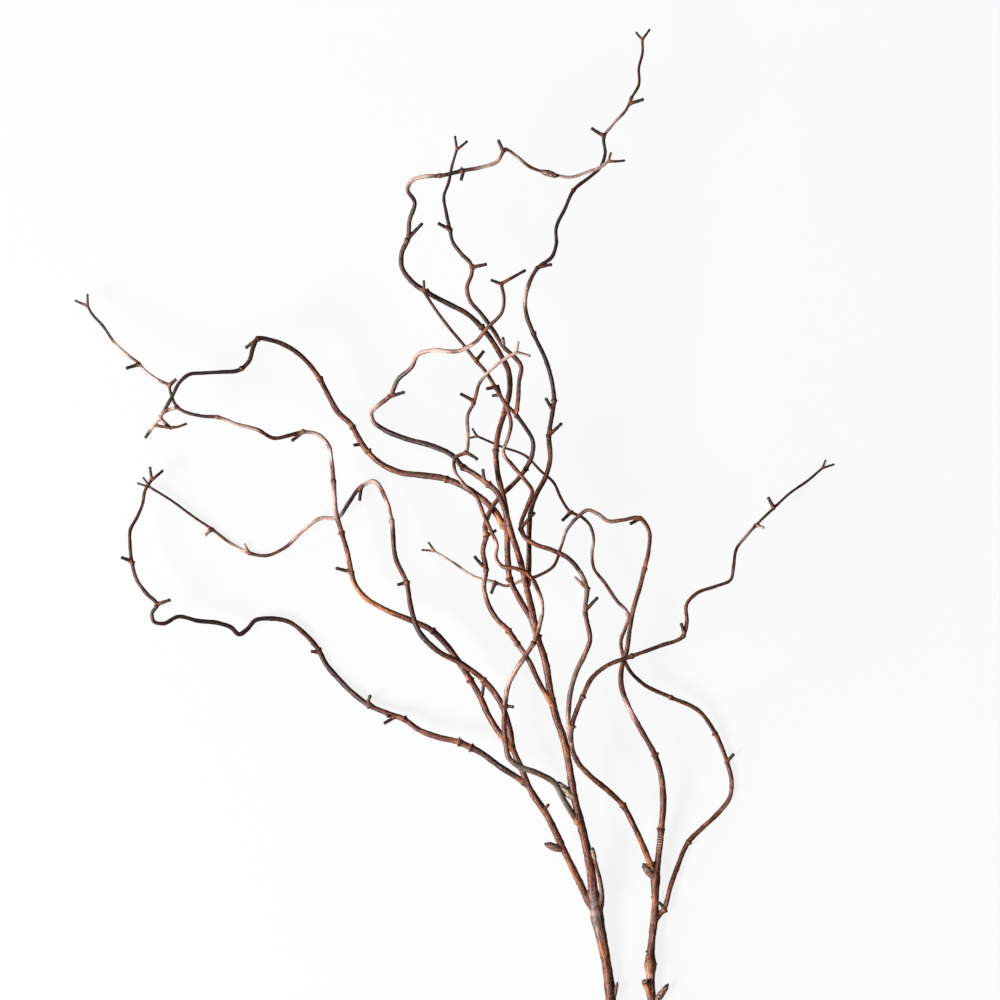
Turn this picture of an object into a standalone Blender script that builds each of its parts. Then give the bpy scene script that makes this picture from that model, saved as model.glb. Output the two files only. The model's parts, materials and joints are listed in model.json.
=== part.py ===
"""Two cut stems of curly willow, lying crossed on a table.

Each stem grew as one piece: its trunk, its curling branches, the short side stubs, the
forked twig ends and the buds are one closed body. The branches follow routes that are
drawn on a sheet one metre wide: millimetres from its left edge, millimetres down from
its top edge, and the height of the middle of the wood over the table.
"""

import math
from typing import NamedTuple

import bmesh
import bpy
import numpy as np
from mathutils import Vector

MM = 0.001
SHEET_ORIGIN = (455.0, 600.0)  # where the part's origin lies on the drawing sheet
NODE = True  # marks a route point where a leaf once sat and the wood swells

NODE_SWELL = 0.22  # how much thicker the wood is at a node
NODE_HALF_LENGTH = 3.2
NODE_ROOM = 5.0  # no other ring lies closer to a node than this
END_ROOM = 1.0  # nor closer to either end of a branch than this
COLLAR_SWELL = 0.3  # how much thicker a branch is where it leaves its parent
COLLAR_REACH = 3.0  # from the parent's surface to the thickest place of the collar
LONGEST_RUN = 20.0  # millimetres of straight wood from one ring to the next
MOST_TURN = math.radians(30)  # the bend from one ring to the next
THICK_WOOD = 3.3  # branches at least this thick, in millimetres of radius, have 8 sides
STUB_RADIUS = 1.45
STUB_TAPER = 0.8
END_SPREAD = 2.0  # how far a forked end opens up and down
BUD_OUTLINE = ((0.0, 0.55), (0.3, 1.0), (0.6, 0.8), (0.85, 0.42), (1.0, 0.12))
TABLE_SIDE = 1600.0  # the block below the table's surface, which flattens the undersides
TABLE_DEPTH = 40.0
WELD_REACH = 0.002
SHARP_EDGE = math.radians(50)
BARK_ROUGHNESS = 0.55
LEFT_BARK = (0.17, 0.062, 0.036, 1.0)
RIGHT_BARK = (0.14, 0.056, 0.036, 1.0)


class Branch(NamedTuple):
    """A branch: its radius at the root and at the tip, its route, and what grows on it.

    A stub is (root x, root y, tip x, tip y, rise), and a bud has its half width after
    that. The ends are the tips of the two short prongs that close a twig.
    """

    radii: tuple
    route: tuple
    stubs: tuple = ()
    buds: tuple = ()
    ends: tuple = ()
    collar: float = 0.0  # the parent's radius, where the branch has a collar


LEFT_STEM = {
    "trunk": Branch(
        (5.6, 4.9),
        (
            (602, 1172, 5.0), (605, 1130, 5.0), (611, 1085, 5.0), (613, 1035, 5.0),
            (611, 999, 5.3), (606, 960, 6.6), (602, 940, 8), (598, 920, 10.5),
            (597, 910, 12),
        ),
        buds=((612, 1010, 619, 984, 3, 1.6),),
    ),
    "fork_shoot": Branch(
        (2.3, 1.7),
        ((600, 914, 12), (602, 902, 17), (600.5, 882, 23), (597, 868, 27.5), (595, 861, 29)),
        buds=((596, 863, 592.5, 848, 2, 1.9),),
    ),
    "low_branch": Branch(
        (3.6, 1.1),
        (
            (598, 914, 11.5), (588, 900, 14.5), (578, 880, 18), (564, 851, 22),
            (547, 816, 27), (530, 790, 30), (521, 768, 31), (514, 752, 31),
            (509, 728, 32.5), (499, 700, 35.5), (483, 680, 38, NODE), (463, 665, 41),
            (436, 650, 42.5), (418, 630, 43), (411, 609, 41.5), (406, 582, 38, NODE),
            (396, 560, 34.5), (391, 520, 28, NODE), (385, 498, 23), (373, 481, 19),
            (361, 486, 17, NODE), (348, 503, 15), (338, 517, 14), (318, 519, 12.5),
            (303, 530, 10), (282, 549, 5.5), (265, 556, 2.8), (247, 553, 1.5, NODE),
            (230, 544, 1.6), (210, 529, 2.6, NODE), (192, 517, 4), (169, 500, 5),
            (148, 487, 5.5),
        ),
        stubs=(
            (484, 681, 482, 697, -2), (405, 582, 397, 585, 2), (361, 486, 359, 501, 4),
            (247, 553, 243, 544, 4), (210, 529, 203, 536, 3), (543, 811, 549, 804, 4),
        ),
        buds=((563, 855, 545, 845, 6, 2.7),),
        ends=((141, 477), (135, 483)),
    ),
    "left_spray": Branch(
        (3.0, 1.1),
        (
            (528, 787, 30), (521, 781, 30), (501, 768, 29), (478, 752, 26),
            (459, 743, 23, NODE), (438, 738, 19.5), (419, 731, 16), (403, 720, 12.5, NODE),
            (389, 715, 10), (368, 706, 6.5, NODE), (352, 694, 4), (338, 680, 2.4),
            (325, 665, 1.9), (317, 650, 2.0, NODE), (301, 632, 3.5), (289, 623, 5),
            (268, 619, 7.5), (254, 621, 10), (246, 630, 12.5), (238, 635, 15),
            (230, 628, 17.5), (219, 624, 20), (196, 621, 25), (177, 617, 29),
            (162, 624, 33), (153, 622, 35), (151, 614, 36.5), (156, 605, 38, NODE),
            (146, 594, 39.5), (136, 580, 40), (131, 562, 39, NODE), (129, 543, 36.5),
            (129, 531, 34), (136, 517, 30), (141, 505, 26.5), (144, 490, 22.5),
            (150, 480, 20),
        ),
        stubs=(
            (459, 743, 460, 736, 3), (402, 720, 383, 724.5, 3), (394, 717, 386, 711, -2),
            (368.5, 706, 370, 696, 4), (319, 654, 310, 652, 3), (156, 605, 170, 600, 3),
            (131, 562, 120, 557.5, 3),
        ),
        ends=((148.5, 466.5), (162, 470)),
        collar=3.1,
    ),
    "left_loop": Branch(
        (2.8, 1.1),
        (
            (514, 752, 31), (507, 743, 31.5), (497, 730, 31.5), (488, 715, 31),
            (480, 697, 30), (470, 680, 28.5, NODE), (461, 666, 28), (446, 645, 28.5),
            (432, 631, 29, NODE), (409, 620, 29.5), (385, 610, 30), (364, 597, 31),
            (354, 583, 32), (351, 572, 33, NODE), (347, 552, 34), (341, 532, 34.5, NODE),
            (336, 514, 34), (333, 480, 33, NODE), (331, 460, 34), (328, 445, 36),
            (319, 435, 39), (302, 432, 44, NODE), (290, 435, 47.5), (273, 438, 52),
            (258, 430, 56), (236, 424, 59), (217, 417, 60, NODE), (202, 416, 60),
            (176, 406, 56, NODE), (170, 392, 53), (168, 385, 51, NODE), (160, 381, 49),
            (143, 369, 44), (138, 363, 42, NODE), (130, 357, 39.5), (114, 343, 34),
            (102, 326, 28.5), (89, 311, 23), (86, 305, 21.5),
        ),
        stubs=(
            (500, 735, 486.5, 716, -3), (351, 572, 335, 568, 3), (302, 432, 291, 441, 3),
            (168, 386, 176, 379, 3), (138, 364, 125, 368, 3),
        ),
        ends=((86, 293), (73, 299.5)),
        collar=3.0,
    ),
    "main_rise": Branch(
        (4.5, 3.6),
        (
            (599, 922, 10), (594.5, 900, 14.5), (591, 870, 22), (587, 850, 27),
            (582, 828, 32), (575, 800, 38.5), (568, 760, 46), (564, 740, 49.5),
            (557, 720, 53), (551, 695, 57.5), (545, 660, 62.5), (537, 636, 66.5, NODE),
            (534, 627, 68.5),
        ),
        buds=((575, 803, 559, 784, 5, 3.0),),
    ),
    "arching_branch": Branch(
        (3.2, 1.4),
        (
            (537, 636, 66.5), (533, 614, 72), (528, 593, 79), (521, 563, 87),
            (511, 532, 94), (503, 505, 99), (496, 491, 101), (488, 484, 99, NODE),
            (473, 473, 92), (463, 467, 87, NODE), (453, 456, 80.5), (432, 446, 73),
            (404, 438, 67), (383, 429, 63), (373, 421, 62), (371, 413, 62.5),
            (380, 404, 66), (390, 396, 70, NODE), (398, 380, 77), (412, 367, 87),
            (418, 355, 93), (430, 351, 98), (460, 351, 109), (474, 344, 114),
            (488, 328, 120), (502, 313, 125), (504, 300, 129), (501, 285, 132),
        ),
        stubs=((484, 482, 483, 469, 4), (390, 397, 405, 392, 3)),
        ends=((490.5, 281), (526, 271)),
    ),
    "tall_branch": Branch(
        (3.1, 1.3),
        (
            (537, 636, 66.5), (531, 619, 69.5), (519, 598, 71), (509.7, 578, 72, NODE),
            (508, 560, 72.5), (507, 527, 75), (506, 510, 79.5), (503, 496, 83),
            (498, 475, 85), (496, 450, 85, NODE), (498, 435, 84.5), (504, 414, 83.5),
            (510, 387, 84), (508, 370, 86), (501, 356, 89), (492, 341, 92.5),
            (481, 327, 95.5, NODE), (467, 314, 98), (450, 305, 99), (426, 292, 98.5, NODE),
            (413, 283, 98), (402, 267, 98.5), (402, 254, 100), (408, 240, 102.5, NODE),
            (410, 221, 107), (415, 203, 111), (408, 190, 114), (412, 182, 115.5),
            (424, 178, 117), (441, 177, 118, NODE), (463, 172, 118, NODE),
            (480, 169, 116.5), (497, 163, 113.5), (506, 151, 110, NODE), (517, 158, 107.5),
            (530, 168, 104.5), (549, 174, 101), (570, 178, 97), (589, 172, 93.5),
            (600, 168, 91.5), (608, 162, 90),
        ),
        stubs=((408, 240, 423, 224, 3), (463, 172, 461, 182, 3), (503, 152, 498, 141, 3)),
        buds=((541, 173, 558, 178, 1, 2.6),),
        ends=((611, 153), (625, 161)),
    ),
    "low_curl": Branch(
        (2.9, 1.2),
        (
            (507, 530, 75.5), (502, 523, 72), (497, 514, 68), (486, 502, 62),
            (469, 489.5, 57.5), (446, 479, 52, NODE), (420, 475, 46.5), (399, 472, 42.5),
            (380, 463, 38.5), (367, 451, 35.5, NODE), (356, 434, 33), (352, 426, 33, NODE),
            (337, 411, 34), (328, 395, 37), (319, 378, 41, NODE), (307, 362, 45),
            (292, 349, 49), (271, 340, 53), (257, 339, 56, NODE), (253, 347, 58),
            (249, 361, 61), (241, 369, 63, NODE), (220, 372, 66.5), (204, 373, 68.5),
            (188, 375, 70), (180, 382, 70.5), (172, 397, 70), (160, 417, 67, NODE),
            (154, 425, 65.5), (145, 438, 63),
        ),
        stubs=(
            (362, 443, 353, 445, 3), (257, 339, 245, 348, -3), (164, 412, 176, 408, 3),
            (160, 418, 172, 429, -3),
        ),
        collar=3.0,
    ),
    "low_curl_twiglet": Branch(
        (1.3, 1.1),
        ((154, 425, 65.5), (165, 427, 68), (177, 427, 69), (187, 423.5, 70)),
    ),
    "high_branch": Branch(
        (2.7, 1.1),
        (
            (527, 590, 80), (528.5, 576, 80), (529, 557, 77), (529, 532, 75),
            (531, 511, 74), (537, 493, 74), (545, 478, 74.5), (550, 460, 75),
            (549, 435, 76, NODE), (552, 415, 78), (554, 400, 79, NODE), (552, 382, 81),
            (546, 361, 84), (533, 333, 88, NODE), (527, 317, 89.5), (525, 300, 91),
            (528, 287, 92), (538, 268, 93, NODE), (552, 257, 93), (556, 245, 92),
            (556, 229, 90), (565, 209, 87), (574, 190, 83, NODE), (590, 177, 79),
            (600, 168, 75.5), (605, 155, 73), (604, 137, 69, NODE), (613, 124, 65.5),
            (626, 110, 61), (632, 97, 57, NODE), (639, 84, 52.5), (639, 68, 48.5),
            (643, 50, 44.5), (642.5, 39, 43),
        ),
        stubs=(
            (549, 435, 562, 423, 3), (552, 410, 545.5, 398, 3), (538, 268, 552, 265, 3),
            (604, 136, 591, 128, 3), (630, 103, 644, 99, 3),
        ),
        ends=((636, 31), (650.5, 28)),
        collar=2.7,
    ),
    "front_branch": Branch(
        (2.7, 1.3),
        (
            (582, 828, 32), (575, 818, 36), (565, 802, 42), (554, 783, 47),
            (536, 773, 50), (518, 766, 52), (509, 758, 54), (506, 745, 55),
            (504, 725, 57), (505, 706, 60, NODE), (508, 686, 65), (516, 670, 70),
            (526, 655, 75.5), (534, 642, 79.5, NODE), (540, 623, 83), (542, 605, 86),
            (538, 590, 90), (528, 574, 95), (515, 568, 97), (502, 566, 97),
            (496, 558, 96.5), (497, 545, 94.5), (491, 531, 91.5), (484, 515, 89.5),
            (476, 496, 89), (463, 483, 90), (455, 471, 91.5), (455, 458, 92.5),
            (466, 452, 94, NODE), (468, 435, 97), (468, 415, 101), (474, 403, 104, NODE),
            (480, 383, 108), (491, 370, 110.5), (504, 360, 111.5), (516, 353, 112),
        ),
        stubs=((505, 706, 514, 707, 2), (467, 454, 478, 460, 2), (473, 402, 460, 394, 2)),
        ends=((518, 342), (530.5, 357)),
        collar=3.9,
    ),
    "middle_branch": Branch(
        (2.7, 1.1),
        (
            (554, 707, 56), (547, 696, 59.5), (538, 680, 63), (529, 661, 66),
            (517, 643, 68, NODE), (508, 630, 68.5, NODE), (497, 619, 68), (489, 606, 67),
            (484, 588, 66), (486, 569, 66, NODE), (483, 550, 67), (486, 536, 69, NODE),
            (485, 526, 70.5), (488, 516, 71.5), (495, 503, 73), (504, 493, 74),
            (518, 479, 77.5), (526, 468, 81, NODE), (532, 455, 85.5), (533, 442, 89),
            (525, 427, 92.5), (516, 415, 95.5, NODE), (504, 402, 98.5),
            (495, 387, 100, NODE), (485, 371, 101.5), (476, 361, 102.5, NODE),
            (465, 347, 103.5), (449, 328, 105), (435, 309, 106), (424, 292, 107),
        ),
        stubs=(
            (486, 569, 474, 556, 3), (486, 536, 496.5, 530, -2), (495, 387, 486, 389, 3),
            (476, 361, 484, 351, -3),
        ),
        ends=((424, 281), (414, 284)),
        collar=3.6,
    ),
    "middle_twig": Branch(
        (1.9, 1.2),
        (
            (516, 415, 95.5), (518, 400, 97), (519, 382, 98.5), (521, 366, 99.5),
            (514, 357, 100), (504, 348, 100.5), (494, 332, 102), (481, 314, 104),
            (470, 301, 105.5), (467, 289, 106), (472, 274, 106.5), (472, 267, 107, NODE),
            (461, 254, 108), (453, 243, 108.5), (450, 230, 109, NODE), (446, 212, 109),
            (444, 198, 109), (449, 183, 109), (452, 168, 109), (457, 151, 110),
        ),
        stubs=((472, 268, 487, 265, 3), (450, 230, 438, 224, 3)),
        buds=((503, 347, 503, 337, 3, 1.5),),
        ends=((455, 137), (468, 142)),
        collar=1.8,
    ),
}

RIGHT_STEM = {
    "trunk": Branch(
        (4.9, 1.2),
        (
            (664, 1165, 4.4), (661, 1125, 4.35), (656, 1080, 4.25), (653, 1040, 4.15),
            (652.5, 999, 4.6), (651, 966, 5.7, NODE), (653, 940, 5.9), (656, 912, 6.6),
            (656, 885, 8), (659, 860, 10.5), (662, 830, 14.5, NODE), (664, 800, 19),
            (661, 773, 22.5), (655, 755, 25, NODE), (644, 735, 28), (628, 705, 32.5),
            (622, 688, 34.5), (622, 668, 36.5), (627, 652, 38), (630, 630, 39.5),
            (634, 608, 41), (640, 588, 42.5), (645, 568, 43.5, NODE), (649, 550, 44.5),
            (649, 530, 45), (640, 518, 46, NODE), (623, 520, 46.5), (608, 521, 46.5),
            (598, 514, 46.5), (588, 510, 46), (578, 517, 46), (567, 530, 46.5),
            (561, 547, 47.5), (553, 567, 48.5), (540, 575, 49.5), (521, 581, 50),
            (506, 586, 50), (494, 582, 49.5, NODE), (475, 577, 47.5), (455, 564, 44.5),
            (434, 551, 41),
        ),
        stubs=((640, 518, 630, 524, 3), (495, 583, 491, 594, 3)),
        buds=((656, 1010, 669, 986, 3, 2.1), (654, 879, 642, 863, 5, 2.3)),
        ends=((428, 542), (421, 550)),
    ),
    "cut_spur": Branch((3.2, 2.9), ((652, 1004, 4.5), (648, 992, 7), (645, 981, 9))),
    "right_branch": Branch(
        (2.8, 1.2),
        (
            (656, 881, 8.5), (651, 866, 12.5), (644, 848, 18), (634, 826, 24),
            (623, 806, 29.5, NODE), (609, 792, 35), (590, 776, 42), (577, 761, 46.5),
            (572.6, 750, 49), (571.2, 738, 51), (572, 726, 52.5, NODE), (577, 710, 54.5),
            (583, 696, 56, NODE), (593, 677, 57), (605, 667, 58), (633, 656, 58.5, NODE),
            (660, 646, 58.5), (684, 635, 58.5, NODE), (687, 622, 58), (687, 604, 57),
            (696, 594, 56), (717, 586, 52.5), (731, 580, 49.5), (734, 566, 45.5),
            (737, 549, 40), (746, 537, 34.5), (757, 525, 29, NODE), (775, 508, 21, NODE),
            (790, 494, 15), (810, 480, 7), (824, 468, 2.5),
        ),
        stubs=((685, 634, 681, 623, 3), (757, 525, 765, 528, 3), (775, 508, 769, 497, 3)),
        ends=((827.5, 459.5), (836.5, 464)),
        collar=3.8,
    ),
    "under_branch": Branch(
        (2.6, 1.1),
        (
            (654, 928, 6), (660, 917, 6), (665, 911, 5.8, NODE), (668, 902, 5.2),
            (671, 890, 4.5), (678, 870, 3.5), (690, 843, 2.6, NODE), (703, 830, 2.2),
            (720, 814, 1.9), (731, 799, 1.9), (733, 783, 2.2), (728, 763, 3.5, NODE),
            (716, 734, 6.5, NODE), (700, 712, 10), (671, 698, 15, NODE), (643, 684, 20),
            (630, 671, 22.5), (623, 655, 24.5), (621.5, 641, 25.5), (626, 628, 26),
            (628, 614, 26, NODE), (617, 601, 26), (605, 583, 26), (594, 568, 27),
            (592.5, 552, 28), (594, 540, 28.5), (590, 525, 30), (582, 517, 31),
            (571, 512, 32, NODE), (561, 498, 34), (554, 483, 36), (541, 471, 38),
            (526, 456, 41), (500, 446, 44.5), (477, 436, 48),
        ),
        stubs=((665, 911, 660, 904, 3), (728, 763, 735, 755, 3), (571, 512, 562, 521, 3)),
        ends=((472, 428), (468, 438)),
    ),
    "front_twig": Branch(
        (2.4, 1.4),
        (
            (571.9, 743, 50.5), (569, 731, 53), (568.5, 712, 57), (571, 690, 61.5),
            (576, 673, 66), (585, 654, 70.5), (590, 640, 74), (587, 622, 77),
            (585, 612, 78.5, NODE), (586.5, 588, 82, NODE), (580, 572, 84),
            (568, 558, 85.5), (552, 550, 86), (533, 543, 86.5), (524, 536, 86.5),
            (521, 528, 86.5, NODE), (527, 507, 86.5), (532, 491, 87), (524, 479, 88),
            (513, 466, 89), (503.5, 453, 89.5), (508, 438, 90.5), (511, 424, 91.5),
            (508, 411, 92), (500, 395, 93),
        ),
        stubs=((585, 611, 598, 597, 3), (586, 588, 574, 577, 3), (522, 528, 535, 512, 3)),
        ends=((497.5, 385), (492, 396)),
    ),
}


def sheet_point(across, down, height):
    """A point of the drawing sheet as a place in the part's own frame, in metres."""
    return Vector((across - SHEET_ORIGIN[0], SHEET_ORIGIN[1] - down, height)) * MM


def smooth_line(points):
    """One point a millimetre along the smooth curve through the given points."""
    knots = np.array(points, float)
    steps = np.linalg.norm(np.diff(knots, axis=0), axis=1)
    slopes = np.diff(knots, axis=0) / steps[:, None]
    before, after = steps[:-1, None], steps[1:, None]
    inner = (slopes[:-1] * after + slopes[1:] * before) / (before + after)
    tangents = np.vstack([slopes[:1], inner, slopes[-1:]])
    pieces = [knots[:1]]
    for i, step in enumerate(steps):
        count = max(2, round(step))
        t = np.linspace(0.0, 1.0, count + 1)[1:, None]
        pieces.append(
            (2 * t**3 - 3 * t**2 + 1) * knots[i]
            + (t**3 - 2 * t**2 + t) * step * tangents[i]
            + (3 * t**2 - 2 * t**3) * knots[i + 1]
            + (t**3 - t**2) * step * tangents[i + 1]
        )
    return np.vstack(pieces)


def distances(line):
    """How far along the line each of its points lies."""
    return np.concatenate([[0.0], np.cumsum(np.linalg.norm(np.diff(line, axis=0), axis=1))])


def nearest(line, across, down):
    """The number of the line's point that lies closest to a place on the sheet."""
    return int(np.argmin(np.hypot(line[:, 0] - across, line[:, 1] - down)))


def ring_places(line, along, swellings):
    """Distances along a branch at which it has a ring: closer together where it bends."""
    heading = np.diff(line, axis=0)
    heading /= np.linalg.norm(heading, axis=1)[:, None]
    turn = np.arccos(np.clip((heading[1:] * heading[:-1]).sum(axis=1), -1.0, 1.0))
    need = np.diff(along) / LONGEST_RUN
    need[1:] += turn / MOST_TURN
    total = np.concatenate([[0.0], np.cumsum(need)])
    count = max(2, math.ceil(total[-1]))
    places = np.interp(np.linspace(0.0, total[-1], count + 1), total, along)
    nodes = [middle for middle, _ in swellings]
    kept = [s for s in places[1:-1] if all(abs(s - node) > NODE_ROOM for node in nodes)]
    for node in nodes:
        kept += [node - NODE_HALF_LENGTH, node, node + NODE_HALF_LENGTH]
    inside = [s for s in kept if END_ROOM < s < along[-1] - END_ROOM]
    return np.array(sorted({0.0, float(along[-1]), *inside}))


def radius_at(branch, share, place, swellings):
    """The branch's radius: an even taper, thicker at each node and collar."""
    radius = branch.radii[0] + (branch.radii[1] - branch.radii[0]) * share
    for middle, swell in swellings:
        closeness = max(0.0, 1.0 - abs(place - middle) / NODE_HALF_LENGTH)
        radius *= 1.0 + swell * closeness
    return radius


def tube(name, points, radii, sides, into):
    """A closed mesh tube through the points, which are in metres. The radii are in millimetres."""
    curve = bpy.data.curves.new(name, "CURVE")
    curve.dimensions = "3D"
    curve.bevel_depth = MM
    curve.bevel_resolution = sides // 2 - 2
    curve.use_fill_caps = True
    spline = curve.splines.new("POLY")
    spline.points.add(len(points) - 1)
    for knot, point, radius in zip(spline.points, points, radii):
        knot.co = (*point, 1.0)
        knot.radius = radius
    guide = bpy.data.objects.new(name + "_route", curve)
    into.objects.link(guide)
    bpy.context.view_layer.update()
    graph = bpy.context.evaluated_depsgraph_get()
    mesh = bpy.data.meshes.new_from_object(guide.evaluated_get(graph))
    solid = bpy.data.objects.new(name, mesh)
    solid.matrix_world = guide.matrix_world.copy()
    into.objects.link(solid)
    bpy.data.objects.remove(guide)
    weld(mesh)
    return solid


def weld(mesh):
    """Joins the caps to the sides and turns every face outwards."""
    work = bmesh.new()
    work.from_mesh(mesh)
    bmesh.ops.remove_doubles(work, verts=work.verts, dist=WELD_REACH * MM)
    bmesh.ops.recalc_face_normals(work, faces=work.faces)
    work.to_mesh(mesh)
    work.free()


def grow_branch(name, branch, into):
    """The branch's own wood. Returns it with the line that its stubs and buds stand on."""
    line = smooth_line([point[:3] for point in branch.route])
    along = distances(line)
    swellings = [
        (float(along[nearest(line, point[0], point[1])]), NODE_SWELL)
        for point in branch.route
        if len(point) > 3
    ]
    if branch.collar:
        swellings.append((branch.collar + COLLAR_REACH, COLLAR_SWELL))
    places = ring_places(line, along, swellings)
    centres = [sheet_point(*(np.interp(s, along, line[:, axis]) for axis in range(3))) for s in places]
    radii = [radius_at(branch, s / along[-1], s, swellings) for s in places]
    sides = 8 if branch.radii[0] >= THICK_WOOD else 6
    return tube(name, centres, radii, sides, into), line


def grow_stub(name, start, tip, radius, into):
    """A short blunt side shoot, rooted in the middle of the wood it grows from."""
    tube(name, [sheet_point(*start), sheet_point(*tip)], [radius, radius * STUB_TAPER], 6, into)


def grow_bud(name, start, tip, half_width, into):
    """A pointed bud: a short body that swells and closes again."""
    root, point = sheet_point(*start), sheet_point(*tip)
    points = [root.lerp(point, share) for share, _ in BUD_OUTLINE]
    tube(name, points, [half_width * width for _, width in BUD_OUTLINE], 6, into)


def grow_details(name, branch, line, into):
    """The stubs, buds and forked end of one branch."""
    for number, (x, y, tip_x, tip_y, rise) in enumerate(branch.stubs, 1):
        root = line[nearest(line, x, y)]
        tip = (tip_x, tip_y, root[2] + rise)
        grow_stub(f"{name}_stub_{number}", root, tip, STUB_RADIUS, into)
    for number, (x, y, tip_x, tip_y, rise, half_width) in enumerate(branch.buds, 1):
        root = line[nearest(line, x, y)]
        tip = (tip_x, tip_y, root[2] + rise)
        grow_bud(f"{name}_bud_{number}", root, tip, half_width, into)
    for number, (tip_x, tip_y) in enumerate(branch.ends):
        root = line[-1]
        rise = END_SPREAD if number == 0 else -END_SPREAD
        radius = max(branch.radii[1], 1.0)
        grow_stub(f"{name}_end_{number + 1}", root, (tip_x, tip_y, root[2] + rise), radius, into)


def apply_boolean(solid, operation, solver, other=None, others=None):
    """Runs one Boolean on the solid and keeps its result."""
    modifier = solid.modifiers.new(operation.lower(), "BOOLEAN")
    modifier.operation = operation
    modifier.solver = solver
    if others is None:
        modifier.object = other
    else:
        modifier.operand_type = "COLLECTION"
        modifier.collection = others
    bpy.context.view_layer.update()
    graph = bpy.context.evaluated_depsgraph_get()
    result = bpy.data.meshes.new_from_object(solid.evaluated_get(graph))
    solid.modifiers.clear()
    solid.data = result


def bark_material(name, colour):
    material = bpy.data.materials.new(name)
    material.use_nodes = True
    shader = material.node_tree.nodes["Principled BSDF"]
    shader.inputs["Base Color"].default_value = colour
    shader.inputs["Roughness"].default_value = BARK_ROUGHNESS
    shader.inputs["Metallic"].default_value = 0.0
    return material


def table_block(cutters):
    """The room below the table's surface, which flattens the undersides that lie on it."""
    bpy.ops.mesh.primitive_cube_add(size=1.0)
    block = bpy.context.object
    block.name = "below_the_table"
    block.scale = Vector((TABLE_SIDE, TABLE_SIDE, TABLE_DEPTH)) * MM
    block.location = (0.0, 0.0, -TABLE_DEPTH * MM / 2)
    for home in list(block.users_collection):
        home.objects.unlink(block)
    cutters.objects.link(block)
    block.hide_render = True
    block.display_type = "WIRE"
    return block


def grow_stem(name, branches, material, parts, block):
    """One stem as one body: every branch, stub and bud joined, its underside flattened."""
    growth = bpy.data.collections.new(name + "_growth")
    bpy.context.scene.collection.children.link(growth)
    for branch_name, branch in branches.items():
        wood, line = grow_branch(f"{name}_{branch_name}", branch, growth)
        grow_details(wood.name, branch, line, growth)
    stem = growth.objects[f"{name}_trunk"]
    growth.objects.unlink(stem)
    parts.objects.link(stem)
    apply_boolean(stem, "UNION", "MANIFOLD", others=growth)
    apply_boolean(stem, "DIFFERENCE", "MANIFOLD", other=block)
    for helper in list(growth.objects):
        bpy.data.objects.remove(helper)
    bpy.data.collections.remove(growth)
    stem.name = name
    stem.data.name = name
    stem.data.materials.clear()
    stem.data.materials.append(material)
    stem.data.shade_smooth()
    stem.data.set_sharp_from_angle(angle=SHARP_EDGE)
    return stem


def main():
    for old in list(bpy.data.objects):
        bpy.data.objects.remove(old)
    parts = bpy.data.collections.new("willow_stems")
    cutters = bpy.data.collections.new("cutters")
    bpy.context.scene.collection.children.link(parts)
    bpy.context.scene.collection.children.link(cutters)
    block = table_block(cutters)
    grow_stem("left_stem", LEFT_STEM, bark_material("left_bark", LEFT_BARK), parts, block)
    grow_stem("right_stem", RIGHT_STEM, bark_material("right_bark", RIGHT_BARK), parts, block)


main()
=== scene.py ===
"""Two cut stems of curly willow: their bark, buds and cut ends, laid out as a Blender add-on.

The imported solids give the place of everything. Each stem's bark is grown again here along
the same routes, with far more rings and sides, so that its nodes, leaf scars, warts and
collars show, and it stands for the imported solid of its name. Lengths are in millimetres on
a drawing sheet one metre wide until a mesh is made, and in metres after that.
"""

import json
import math
from typing import NamedTuple

import bpy
import numpy as np
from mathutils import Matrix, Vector
from mathutils.kdtree import KDTree

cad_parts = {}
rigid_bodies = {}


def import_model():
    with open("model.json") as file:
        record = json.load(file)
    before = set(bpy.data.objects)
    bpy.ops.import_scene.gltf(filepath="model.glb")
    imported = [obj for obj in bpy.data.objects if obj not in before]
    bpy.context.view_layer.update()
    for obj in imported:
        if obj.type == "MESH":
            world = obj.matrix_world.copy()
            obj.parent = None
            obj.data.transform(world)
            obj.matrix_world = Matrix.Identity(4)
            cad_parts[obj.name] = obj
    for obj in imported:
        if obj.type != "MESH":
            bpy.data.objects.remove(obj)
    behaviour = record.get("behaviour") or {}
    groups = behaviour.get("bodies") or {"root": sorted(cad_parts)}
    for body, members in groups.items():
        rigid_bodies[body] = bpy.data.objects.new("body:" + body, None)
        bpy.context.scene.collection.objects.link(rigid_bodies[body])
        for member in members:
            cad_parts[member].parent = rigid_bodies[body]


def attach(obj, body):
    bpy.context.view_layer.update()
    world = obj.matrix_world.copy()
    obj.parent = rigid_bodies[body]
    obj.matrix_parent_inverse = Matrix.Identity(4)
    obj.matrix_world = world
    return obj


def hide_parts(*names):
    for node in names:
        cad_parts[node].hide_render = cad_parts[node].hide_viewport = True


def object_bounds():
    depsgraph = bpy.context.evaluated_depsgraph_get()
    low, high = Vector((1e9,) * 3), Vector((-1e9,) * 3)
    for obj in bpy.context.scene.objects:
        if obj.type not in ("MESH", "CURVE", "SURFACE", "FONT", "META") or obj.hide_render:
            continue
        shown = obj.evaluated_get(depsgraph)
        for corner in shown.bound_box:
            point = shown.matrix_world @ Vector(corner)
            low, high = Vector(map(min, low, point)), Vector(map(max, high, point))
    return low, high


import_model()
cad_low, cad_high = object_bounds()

bl_info = {
    "name": "Willow Stems",
    "version": (1, 0, 0),
    "blender": (4, 5, 0),
    "location": "View3D > Sidebar > Willow",
    "description": "Grows the bark, buds and cut ends of two curly willow stems",
    "category": "Object",
}

MM = 0.001
BODY = "root"
SHEET_ORIGIN = (455.0, 600.0)  # where the part's origin lies on the drawing sheet
SHEET_MIDDLE = (500.0, 500.0)
NODE = True  # marks a route point where a leaf once sat and the wood swells

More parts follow.
